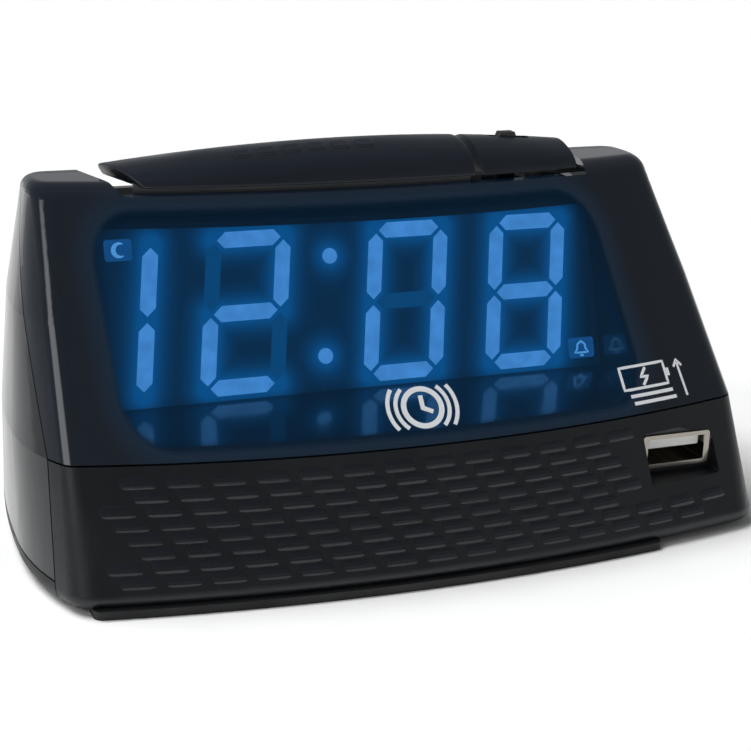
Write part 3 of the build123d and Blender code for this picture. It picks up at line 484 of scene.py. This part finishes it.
def stroke(points, width, place, top, bottom, closed=False):
    """Vertices and faces of a ribbon; width is a number, or a function of the way along it."""
    line = finely(points, STROKE_STEP, closed)
    count = len(line)
    widths = [width(i / (count - 1)) for i in range(count)] if callable(width) else [width] * count
    vertices = []
    for i, (u, v) in enumerate(line):
        before = line[i - 1] if i or closed else line[0]
        after = line[(i + 1) % count] if i < count - 1 or closed else line[-1]
        du, dv = after[0] - before[0], after[1] - before[1]
        size = math.hypot(du, dv) or 1.0
        side = (-dv / size * widths[i] / 2, du / size * widths[i] / 2)
        for sign, height in ((1, top), (-1, top), (-1, bottom), (1, bottom)):
            vertices.append(place(u + sign * side[0], v + sign * side[1], height))
    faces = []
    for i in range(count if closed else count - 1):
        a, b = 4 * i, 4 * ((i + 1) % count)
        faces += [(a + k, a + (k + 1) % 4, b + (k + 1) % 4, b + k) for k in range(4)]
    if not closed:
        faces += [(3, 2, 1, 0), tuple(4 * (count - 1) + k for k in range(4))]
    return vertices, faces


def strokes_object(name, strokes, material, body="case"):
    """One piece made of several ribbons, with its faces turned outwards."""
    vertices, faces = [], []
    for stroke_vertices, stroke_faces in strokes:
        faces += [tuple(len(vertices) + i for i in face) for face in stroke_faces]
        vertices += stroke_vertices
    piece = mesh_object(name, vertices, faces, material, body=None, smooth=False)
    work = bmesh.new()
    work.from_mesh(piece.data)
    bmesh.ops.recalc_face_normals(work, faces=work.faces)
    work.to_mesh(piece.data)
    work.free()
    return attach(piece, body)


print("a ribbon of 5 mm has", len(stroke([(0, 0), (5, 0)], 1, led_point, 0, 1)[0]), "vertices")

# %% [markdown]
# The cover leans back and is bowed like a slice of a tall drum. A point on it is given by its
# place from left to right and its length up the slope from the seam, so a mark can be drawn flat
# and still lie on the curve. The ink stands 0.05 mm proud and its lower side is sunk, because
# two faces in the same place would flicker.

# %% Marks on the cover
SEAM_Y, SEAM_Z = -26.7, 22.2
COVER_LEAN = math.radians(41.5)
BOW_COVER = 250.0


def bow(x, radius):
    """How far back a bowed face is at x, compared with its middle."""
    return radius - math.sqrt(radius * radius - x * x)


def cover_point(x, slope, height):
    """A point on the cover, in metres: slope is the length up from the seam, all in mm."""
    y = SEAM_Y + slope * math.sin(COVER_LEAN) + bow(x, BOW_COVER)
    z = SEAM_Z + slope * math.cos(COVER_LEAN)
    turn = x / BOW_COVER
    outward = Vector((math.sin(turn) * math.cos(COVER_LEAN), -math.cos(turn) * math.cos(COVER_LEAN),
                      math.sin(COVER_LEAN)))
    return (Vector((x, y, z)) + outward * height) * MM


INK_TOP, INK_BOTTOM = 0.05, -0.15
CLOCK_X, CLOCK_UP, CLOCK_RADIUS = -1.8, 7.4, 3.6
WAVE_GAP, WAVE_WIDTH = 1.5, 0.75
HAND_WIDTH, LINE_WIDTH = 0.85, 0.7
BATTERY = [(40.6, 9.8), (40.6, 5.2), (51.2, 5.2), (51.2, 9.8)]
BOLT = [(46.7, 9.2), (45.1, 7.4), (46.9, 7.4), (45.3, 5.7)]


def ink(points, width, closed=False):
    """A printed line on the cover."""
    return stroke(points, width, cover_point, INK_TOP, INK_BOTTOM, closed)


clock_middle = (CLOCK_X, CLOCK_UP)
clock_mark = [ink(arc_points(clock_middle, CLOCK_RADIUS, 0, 360, 41)[:-1], 1.0, closed=True),
              ink([(CLOCK_X, CLOCK_UP - 0.4), (CLOCK_X, CLOCK_UP + 2.3)], HAND_WIDTH),
              ink([(CLOCK_X - 0.3, CLOCK_UP), (CLOCK_X + 1.8, CLOCK_UP - 1.0)], HAND_WIDTH)]
for facing in (0, 180):
    for ring, reach in ((1, 48), (2, 36)):
        radius = CLOCK_RADIUS + WAVE_GAP * ring
        wave = arc_points(clock_middle, radius, facing - reach, facing + reach, 13)
        clock_mark.append(ink(wave, WAVE_WIDTH))
battery_mark = [ink(BATTERY, 0.55, closed=True), ink([(51.7, 6.7), (51.7, 8.3)], 0.9), ink(BOLT, 0.6)]
two_lines = [ink([(41.6, 3.8), (51.8, 3.8)], LINE_WIDTH), ink([(42.0, 2.3), (52.2, 2.3)], LINE_WIDTH)]
arrow = [ink([(54.9, 2.0), (54.6, 9.0)], 0.5), ink([(53.6, 8.2), (54.6, 9.6), (55.6, 8.2)], 0.5)]
# screen-printed silver: nearly white, with the slightly rough surface of dried ink
silver_ink = moulded("silver_screen_ink", "#eef0f3", 0.42, 0.3, 0.006)
printed = clock_mark + battery_mark + two_lines + arrow
strokes_object("cover_marks", printed, silver_ink)
print("printed strokes:", len(printed))

# %% [markdown]
# The icons are the same ribbons, laid on the display instead. The moon is one stroke that swells
# in the middle and thins to nothing at its tips, so its width is a function. The bell is an
# outline with a short clapper under it.

# %% Icons in the two small windows
ICON_TOP, ICON_BOTTOM = 0.0, 0.3
MOON_X, MOON_UP, MOON_RADIUS = -48.25, 13.1, 1.25
MOON_TIP, MOON_SWELL = 0.12, 0.75
BELL_X, BELL_UP, BELL_LINE = 44.0, -12.4, 0.4
BELL_OUTLINE = ((-1.5, -1.0), (-0.95, -0.3), (-0.8, 0.7), (0.0, 1.3),
                (0.8, 0.7), (0.95, -0.3), (1.5, -1.0))
CLAPPER = ((-0.35, -1.55), (0.35, -1.55))


def moon_width(share):
    """The moon's width at a share of the way round it."""
    return MOON_TIP + MOON_SWELL * math.sin(math.pi * share)


def on_bell(points):
    """Points given from the bell's middle, moved to its window."""
    return [(BELL_X + x, BELL_UP + y) for x, y in points]


moon = stroke(arc_points((MOON_X, MOON_UP), MOON_RADIUS, 60, 300, 13), moon_width, led_point,
              ICON_TOP, ICON_BOTTOM)
bell = stroke(on_bell(BELL_OUTLINE), BELL_LINE, led_point, ICON_TOP, ICON_BOTTOM, closed=True)
clapper = stroke(on_bell(CLAPPER), BELL_LINE, led_point, ICON_TOP, ICON_BOTTOM)
# as bright as the bars, and a shade paler, so that it reads against its window
icon_blue = lit_epoxy("lit_icon_epoxy", "#4a8fd0", 1 / THROUGH_COVER)
strokes_object("indicator_icons", [moon, bell, clapper], icon_blue)
print("icons: a moon, and a bell of", len(BELL_OUTLINE), "corners")

# %% [markdown]
# ## Woven relief on the band
# The band copies carbon-fibre twill: short raised floats in rows, each row shifted by a quarter
# of a float, so the gaps line up along a diagonal. Every float is the same, which is work for
# Geometry Nodes: small pillows are laid out on a flat sheet, and the sheet is then draped. A ray
# from each vertex finds the band behind it, so the floats follow the bowed, leaning face closely.

# %% Twill relief tree
BAND_LEAN = math.atan(11.9 / 22.2)
BAND_LEFT, BAND_RIGHT = -58.5, 57.0
SOCKET_AT, SOCKET_CLEAR = (50.4, 14.6), (12.4, 5.6)
FLOAT_GAP = 1.07
FLOAT_SLANT = 0.22
END_POWER, SIDE_POWER, SIDE_DROP = 6.0, 2.0, 0.55
SHEET_Y, RAY_LENGTH = -0.1, 0.2


def woven_tree():
    """Raised floats in rows on the band: sizes are inputs, in metres."""
    tree = bpy.data.node_groups.new("twill_relief", "GeometryNodeTree")
    tree.interface.new_socket("Geometry", in_out="OUTPUT", socket_type="NodeSocketGeometry")
    for name, kind in (("Float length", "Float"), ("Float width", "Float"), ("Float height", "Float"),
                       ("Row pitch", "Float"), ("Columns", "Int"), ("Rows", "Int"), ("Left", "Float"),
                       ("Low", "Float"), ("Row shift", "Float"), ("Band", "Object"),
                       ("Finish", "Material")):
        tree.interface.new_socket(name, in_out="INPUT", socket_type="NodeSocket" + kind)
    source = add_node(tree, "NodeGroupInput").outputs
    sink = add_node(tree, "NodeGroupOutput")

    def calc(operation, *values):
        return math_node(tree, operation, *values)

    def split(vector):
        return add_node(tree, "ShaderNodeSeparateXYZ", {0: vector}).outputs

    def joined(x, y, z):
        return add_node(tree, "ShaderNodeCombineXYZ", {0: x, 1: y, 2: z}).outputs[0]

    def from_middle(place, size):
        return calc("ABSOLUTE", calc("DIVIDE", place, calc("MULTIPLY", size, 0.5)))

    # one float: a small block whose top is crowned to a pillow, with slanted ends
    block = add_node(tree, "GeometryNodeMeshCube", {
        "Size": joined(source["Float length"], source["Float width"], source["Float height"]),
        "Vertices X": 9, "Vertices Y": 5, "Vertices Z": 2})
    spot = split(add_node(tree, "GeometryNodeInputPosition").outputs[0])
    far_x = calc("POWER", from_middle(spot[0], source["Float length"]), END_POWER)
    far_y = calc("POWER", from_middle(spot[1], source["Float width"]), SIDE_POWER)
    side = calc("SUBTRACT", 1.0, calc("MULTIPLY", far_y, SIDE_DROP))
    crown = calc("MULTIPLY", calc("SUBTRACT", 1.0, far_x), side)
    lift = calc("SUBTRACT", calc("MULTIPLY", crown, 2.0), 1.0)
    raised = calc("MULTIPLY", calc("MAXIMUM", spot[2], 0.0), lift)
    height = calc("ADD", calc("MINIMUM", spot[2], 0.0), raised)
    slid = calc("SUBTRACT", spot[0], calc("MULTIPLY", spot[1], FLOAT_SLANT))
    pillow = add_node(tree, "GeometryNodeSetPosition", {
        "Geometry": block.outputs["Mesh"], "Position": joined(slid, spot[1], height)})

    # the field of points: column and row numbers come from one index
    total = calc("MULTIPLY", source["Columns"], source["Rows"])
    points = add_node(tree, "GeometryNodePoints", {"Count": total})
    index = add_node(tree, "GeometryNodeInputIndex").outputs[0]
    row = calc("FLOOR", calc("DIVIDE", calc("ADD", index, 0.5), source["Columns"]))
    column = calc("SUBTRACT", index, calc("MULTIPLY", row, source["Columns"]))
    float_pitch = calc("MULTIPLY", source["Float length"], FLOAT_GAP)
    shifted = calc("MODULO", calc("MULTIPLY", row, source["Row shift"]), float_pitch)
    x = calc("ADD", source["Left"], calc("ADD", calc("MULTIPLY", column, float_pitch), shifted))
    up = calc("ADD", source["Low"], calc("MULTIPLY", row, source["Row pitch"]))

    # no floats near the charging socket or past the band's smooth ends
    off_x, off_z = (calc("ABSOLUTE", calc("SUBTRACT", place, SOCKET_AT[i] * MM))
                    for i, place in enumerate((x, up)))
    near_x = calc("LESS_THAN", off_x, SOCKET_CLEAR[0] * MM)
    near_z = calc("LESS_THAN", off_z, SOCKET_CLEAR[1] * MM)
    too_far = calc("GREATER_THAN", x, BAND_RIGHT * MM)
    outside = calc("MAXIMUM", too_far, calc("LESS_THAN", x, BAND_LEFT * MM))
    drop = calc("GREATER_THAN", calc("ADD", calc("MULTIPLY", near_x, near_z), outside), 0.5)
    placed = add_node(tree, "GeometryNodeSetPosition", {
        "Geometry": points.outputs[0], "Position": joined(x, 0.0, up)})
    kept = add_node(tree, "GeometryNodeDeleteGeometry", {
        "Geometry": placed.outputs[0], "Selection": drop})
    woven = add_node(tree, "GeometryNodeInstanceOnPoints", {
        "Points": kept.outputs[0], "Instance": pillow.outputs[0], "Rotation": (math.pi / 2, 0.0, 0.0)})
    real = add_node(tree, "GeometryNodeRealizeInstances", {0: woven.outputs[0]})

    # a ray straight back from each vertex finds the band, and the vertex keeps its height above it
    flat_sheet = split(add_node(tree, "GeometryNodeInputPosition").outputs[0])
    band = add_node(tree, "GeometryNodeObjectInfo", {"Object": source["Band"]},
                    transform_space="RELATIVE")
    ray = add_node(tree, "GeometryNodeRaycast", {
        "Target Geometry": band.outputs["Geometry"], "Ray Direction": (0.0, 1.0, 0.0),
        "Ray Length": RAY_LENGTH, "Source Position": joined(flat_sheet[0], SHEET_Y, flat_sheet[2])})
    above = add_node(tree, "ShaderNodeVectorMath", {
        0: (0.0, math.cos(BAND_LEAN), -math.sin(BAND_LEAN)), "Scale": flat_sheet[1]}, operation="SCALE")
    landed = add_node(tree, "ShaderNodeVectorMath", {
        0: ray.outputs["Hit Position"], 1: above.outputs[0]}, operation="ADD")
    draped = add_node(tree, "GeometryNodeSetPosition", {
        "Geometry": real.outputs[0], "Position": landed.outputs[0]})
    smooth = add_node(tree, "GeometryNodeSetShadeSmooth", {0: draped.outputs[0]})
    finished = add_node(tree, "GeometryNodeSetMaterial", {
        "Geometry": smooth.outputs[0], "Material": source["Finish"]})
    tree.links.new(finished.outputs[0], sink.inputs[0])
    return tree


relief = woven_tree()
print("twill tree nodes:", len(relief.nodes))

# %% [markdown]
# The tree runs once, on an empty mesh, and its result is kept as a plain mesh, because a finished
# piece has no live nodes. The woven skin has thin fibres along each float, drawn 0.55 mm apart,
# which is coarser than real carbon tow so that they still show at this distance.

# %% Bake the relief
def bake_tree(name, tree, inputs, body):
    """Runs a tree on an empty mesh, and keeps the result as a plain mesh that rides on a body."""
    carrier = bpy.data.objects.new(name + "_carrier", bpy.data.meshes.new(name + "_carrier"))
    bpy.context.scene.collection.objects.link(carrier)
    modifier = carrier.modifiers.new(name, "NODES")
    modifier.node_group = tree
    names = {item.name: item.identifier for item in tree.interface.items_tree if item.in_out == "INPUT"}
    for input_name, value in inputs.items():
        modifier[names[input_name]] = value
    evaluated = carrier.evaluated_get(bpy.context.evaluated_depsgraph_get())
    mesh = bpy.data.meshes.new_from_object(evaluated)
    bpy.data.objects.remove(carrier)
    piece = bpy.data.objects.new(name, mesh)
    bpy.context.scene.collection.objects.link(piece)
    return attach(piece, body)


FIBRE_MM = 0.55
FIBRE_DEPTH = 0.02
# a little glossier than the band under it, so that each float catches a thin light on its top
woven_black = moulded("woven_band_ABS", "#181c22", 0.3, 0.5, 0.006)
tree = woven_black.node_tree
fibre_place = add_node(tree, "ShaderNodeTexCoord").outputs["Object"]
fibres = add_node(tree, "ShaderNodeTexWave", {
    "Vector": fibre_place, "Scale": 1 / (FIBRE_MM * MM) / math.tau * 2, "Distortion": 1.5,
    "Detail": 2.0, "Detail Scale": 1.0}, wave_type="BANDS", bands_direction="Z")
fibre_bump = add_node(tree, "ShaderNodeBump", {
    "Height": fibres.outputs["Fac"], "Distance": FIBRE_DEPTH * MM, "Strength": 0.8})
tree.links.new(fibre_bump.outputs[0], tree.nodes["Principled BSDF"].inputs["Normal"])

band_relief = bake_tree("band_relief", relief, {
    "Float length": 7.1 * MM, "Float width": 1.98 * MM, "Float height": 0.24 * MM,
    "Row pitch": 2.05 * MM, "Columns": 18, "Rows": 8, "Left": -64.0 * MM, "Low": 5.2 * MM,
    "Row shift": 5.75 * MM,
    "Band": cad_parts["lower_bezel"], "Finish": woven_black}, "case")
print("relief triangles:", sum(len(p.vertices) - 2 for p in band_relief.data.polygons))

# %% [markdown]
# ## Snooze bar
# The bar is one long crowned moulding whose left end is cut at a slant. Its cross-section
# follows a rule, so it is drawn as a grid: the same section at many places along the bar, each
# lower or higher with the crown. A narrow bevel then softens every edge as a mould does.

# %% Snooze bar section
COVER_EDGE_Z = 61.0
BAR_TOP_Z, BAR_LOW_Z, BAR_REAR_Y = 68.6, 62.3, 27.5
BAR_CROWN, BAR_CROWN_X = 390.0, 4.0
BAR_RIGHT_X = 21.6
BAR_END_AT, BAR_END_NORMAL = (-48.0, 19.0, 66.0), (-0.80, -0.232, -0.55)
CURVE_POINTS = 34
CHANNEL_GAP = 1.2


def smooth_curve(points, first, last, count):
    """A smooth curve through the points, with given end directions."""
    points = np.array(points, float)
    steps = np.linalg.norm(np.diff(points, axis=0), axis=1)
    knots = np.concatenate(([0], np.cumsum(steps)))
    slopes = np.zeros_like(points)
    for i in range(1, len(points) - 1):
        before = (points[i] - points[i - 1]) / steps[i - 1]
        after = (points[i + 1] - points[i]) / steps[i]
        slopes[i] = (before * steps[i] + after * steps[i - 1]) / (steps[i] + steps[i - 1])
    slopes[0] = np.array(first) / np.linalg.norm(first)
    slopes[-1] = np.array(last) / np.linalg.norm(last)
    out = []
    for t in np.linspace(0, knots[-1], count):
        i = min(int(np.searchsorted(knots, t, side="right")) - 1, len(steps) - 1)
        s = (t - knots[i]) / steps[i]
        out.append((2 * s**3 - 3 * s**2 + 1) * points[i] + (s**3 - 2 * s**2 + s) * steps[i] * slopes[i]
                   + (3 * s**2 - 2 * s**3) * points[i + 1] + (s**3 - s**2) * steps[i] * slopes[i + 1])
    return out


def bar_section(x):
    """The bar's section at x, from the front bottom corner over the top to the rear bottom corner."""
    cover_edge_y = SEAM_Y + (COVER_EDGE_Z - SEAM_Z) * math.tan(COVER_LEAN)
    front = cover_edge_y + CHANNEL_GAP + bow(x, BOW_COVER)
    top = BAR_TOP_Z - bow(x - BAR_CROWN_X, BAR_CROWN)
    deep, high, rear = BAR_REAR_Y - front, top - BAR_LOW_Z, BAR_REAR_Y
    curve = smooth_curve([(front, BAR_LOW_Z), (front + 0.15 * deep, top - 0.42 * high),
                          (front + 0.36 * deep, top - 0.11 * high), (rear - 0.28 * deep, top),
                          (rear - 0.06 * deep, top - 0.22 * high), (rear, BAR_LOW_Z + 0.28 * high)],
                         (0.35, 1.0), (0.0, -1.0), CURVE_POINTS)
    return curve + [(rear, BAR_LOW_Z), (rear - deep / 3, BAR_LOW_Z), (front + deep / 3, BAR_LOW_Z)]


def left_end(y, z):
    """The x where the slanted end plane meets the line through a section point."""
    across = BAR_END_NORMAL[1] * (y - BAR_END_AT[1]) + BAR_END_NORMAL[2] * (z - BAR_END_AT[2])
    return BAR_END_AT[0] - across / BAR_END_NORMAL[0]


print("section points:", len(bar_section(0.0)))

# %% [markdown]
# The section changes along the bar, so where the end plane cuts it has to be found by trying
# again from each answer, and six times is plenty. Below the bar hang a thin skirt, which closes
# the gap over the channel, and the two round plungers that press the switches.

# %% Snooze bar mesh
BAR_STATIONS = 48
END_TRIES = 6
section_size = len(bar_section(0.0))
ends = []
for j in range(section_size):
    x = BAR_END_AT[0]
    for _ in range(END_TRIES):
        x = left_end(*bar_section(x)[j])
    ends.append(x)
bar_vertices = []
for i in range(BAR_STATIONS):
    share = i / (BAR_STATIONS - 1)
    for j in range(section_size):
        x = ends[j] + (BAR_RIGHT_X - ends[j]) * share
        y, z = bar_section(x)[j]
        bar_vertices.append((x * MM, y * MM, z * MM))
bar_faces = [(i * section_size + j, i * section_size + (j + 1) % section_size,
              (i + 1) * section_size + (j + 1) % section_size, (i + 1) * section_size + j)
             for i in range(BAR_STATIONS - 1) for j in range(section_size)]
bar_faces.append(tuple(reversed(range(section_size))))
bar_faces.append(tuple((BAR_STATIONS - 1) * section_size + j for j in range(section_size)))
snooze_bar = mesh_object("snooze_bar_smooth", bar_vertices, bar_faces, black_satin, body=None)
print("bar from", round(min(ends), 2), "to", BAR_RIGHT_X, "mm")

# %% Bevel, plungers and skirt of the bar
BEVEL_FROM = math.radians(38)
BEVEL_WIDTH = 0.45
PLUNGERS = ((-30.0, 22.6), (10.0, 22.6))
PLUNGER_TOP, PLUNGER_END, PLUNGER_R = 63.0, 57.4, 1.3
SKIRT_LEFT, SKIRT_RIGHT, SKIRT_STATIONS = -45.0, BAR_RIGHT_X - 0.6, 24
SKIRT_BACK, SKIRT_THICK = 1.7, 1.2
SKIRT_TOP, SKIRT_END = BAR_LOW_Z + 0.6, 60.2
SHARP_FROM = math.radians(40)

work = bmesh.new()
work.from_mesh(snooze_bar.data)
bmesh.ops.recalc_face_normals(work, faces=work.faces)
sharp = [e for e in work.edges if len(e.link_faces) == 2 and e.calc_face_angle(0) > BEVEL_FROM]
bmesh.ops.bevel(work, geom=sharp, offset=BEVEL_WIDTH * MM, segments=3, affect="EDGES", profile=0.5)
for x, y in PLUNGERS:
    middle = Vector((x, y, (PLUNGER_TOP + PLUNGER_END) / 2)) * MM
    bmesh.ops.create_cone(work, cap_ends=True, segments=24, radius1=PLUNGER_R * MM,
                          radius2=PLUNGER_R * MM, depth=(PLUNGER_TOP - PLUNGER_END) * MM,
                          matrix=Matrix.Translation(middle))
skirt = []
for x in np.linspace(SKIRT_LEFT, SKIRT_RIGHT, SKIRT_STATIONS):
    near = bar_section(float(x))[0][0] + SKIRT_BACK
    far = near + SKIRT_THICK
    skirt.append([work.verts.new((x * MM, y * MM, z * MM)) for y, z in (
        (near, SKIRT_END), (near, SKIRT_TOP), (far, SKIRT_TOP), (far, SKIRT_END))])
for a, b in zip(skirt, skirt[1:]):
    for k in range(4):
        work.faces.new((a[k], a[(k + 1) % 4], b[(k + 1) % 4], b[k]))
work.faces.new(skirt[0][::-1])
work.faces.new(skirt[-1])
bmesh.ops.recalc_face_normals(work, faces=work.faces)
for face in work.faces:
    face.smooth = True
for line in work.edges:
    line.smooth = line.calc_face_angle(0) < SHARP_FROM
work.to_mesh(snooze_bar.data)
work.free()
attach(snooze_bar, "snooze")
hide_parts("snooze_bar")
print("bar faces:", len(snooze_bar.data.polygons))

# %% [markdown]
# ## Raised marks on the bar
# The bar has raised marks along its crest, so that a thumb can find it in the dark: here a plain
# row of dashes. Each one is a short ribbon that follows the crest and is sunk a little into it,
# and a narrow bevel makes a pillow of it.

# %% Raised dashes
DASHES = 6
DASH_Y = 16.9
DASH_FIRST, DASH_PITCH = -25.0, 4.9
DASH_LENGTH, DASH_WIDTH, DASH_LEAN = 3.2, 2.6, -0.35
DASH_HEIGHT, DASH_SUNK = 0.32, -0.3
DASH_BEVEL = 0.18
TOP_POINTS = 30


def crest_point(x, y, height):
    """A point on the bar's top, in metres, from x, y and a height above the top in mm."""
    ys, zs = zip(*bar_section(x)[:TOP_POINTS])
    return Vector((x, y, float(np.interp(y, ys, zs)) + height)) * MM


dash_strokes = []
for k in range(DASHES):
    dash_left = DASH_FIRST + k * DASH_PITCH + DASH_LEAN * DASH_WIDTH / 2
    dash_line = [(dash_left, DASH_Y), (dash_left + DASH_LENGTH, DASH_Y)]
    dash_strokes.append(stroke(dash_line, DASH_WIDTH, crest_point, DASH_HEIGHT, DASH_SUNK))
bar_dashes = strokes_object("bar_dashes", dash_strokes, black_satin, body="snooze")
bevel = bar_dashes.modifiers.new("soften", "BEVEL")
bevel.width = DASH_BEVEL * MM
bevel.segments = 2
bevel.limit_method = "ANGLE"
bevel.angle_limit = math.radians(50)
print("dashes:", DASHES)

# %% [markdown]
# ## Floor and light
# The clock stands on a plain white sweep of paper. A matte finish is enough for it: it only has
# to bounce light back up and to take the clock's soft shadow.

# %% White floor
FLOOR_HALF = 6.0
# uncoated paper: white, without any gloss
floor_white = moulded("white_backdrop_paper", "#f4f4f4", 0.8, 2.0, 0.02)
floor = mesh_object("floor", [(-FLOOR_HALF, -FLOOR_HALF, 0), (FLOOR_HALF, -FLOOR_HALF, 0),
                              (FLOOR_HALF, FLOOR_HALF, 0), (-FLOOR_HALF, FLOOR_HALF, 0)],
                    [(0, 1, 2, 3)], floor_white, body=None, smooth=False)
print("floor", 2 * FLOOR_HALF, "m wide")

# %% [markdown]
# One broad lamp behind and above, a little to the left, lights the paper and throws the shadow
# forward to the right. It is hidden from reflections, because a glossy corner would otherwise show
# its mirror image as a white blob. What the gloss shows instead is the tent round the clock: dim
# overhead, brighter near the floor, with one soft patch high on the left.

# %% Lamp and tent
SUN_ENERGY, SUN_WIDTH = 3.5, math.radians(40)
TENT_BASE, TENT_LOW, LOW_POWER = 0.10, 0.62, 3.0
TENT_COLOUR = (0.97, 0.985, 1.0, 1.0)
PATCH_AIM, PATCH_REACH, PATCH_STRENGTH = (-0.73, -0.21, 0.65), math.radians(16), 3.0

sun_data = bpy.data.lights.new("overhead_softbox", "SUN")
sun_data.energy = SUN_ENERGY
sun_data.angle = SUN_WIDTH
sun = bpy.data.objects.new("overhead_softbox", sun_data)
bpy.context.scene.collection.objects.link(sun)
sun.visible_glossy = False
LAMP_FROM = Vector((-0.35, 0.5, 1.0))
sun.rotation_euler = LAMP_FROM.to_track_quat("Z", "Y").to_euler()

world = bpy.data.worlds.new("studio_tent")
bpy.context.scene.world = world
world.use_nodes = True
tree = world.node_tree
sky = tree.nodes["Background"]
whole = add_node(tree, "ShaderNodeTexCoord").outputs["Generated"]
direction = add_node(tree, "ShaderNodeSeparateXYZ", {0: whole}).outputs
level = math_node(tree, "SUBTRACT", 1.0, math_node(tree, "ABSOLUTE", direction[2]))
low_ring = math_node(tree, "MULTIPLY", math_node(tree, "POWER", level, LOW_POWER), TENT_LOW)
facing = add_node(tree, "ShaderNodeVectorMath", {
    0: whole, 1: Vector(PATCH_AIM).normalized()}, operation="DOT_PRODUCT").outputs["Value"]
patch = add_node(tree, "ShaderNodeMapRange", {
    "Value": facing, "From Min": math.cos(PATCH_REACH), "From Max": math.cos(PATCH_REACH / 2),
    "To Min": 0.0, "To Max": PATCH_STRENGTH}, interpolation_type="SMOOTHSTEP")
bright = math_node(tree, "ADD", math_node(tree, "ADD", TENT_BASE, low_ring), patch.outputs[0])
tree.links.new(bright, sky.inputs["Strength"])
sky.inputs["Color"].default_value = TENT_COLOUR
print("lamp from", tuple(LAMP_FROM))
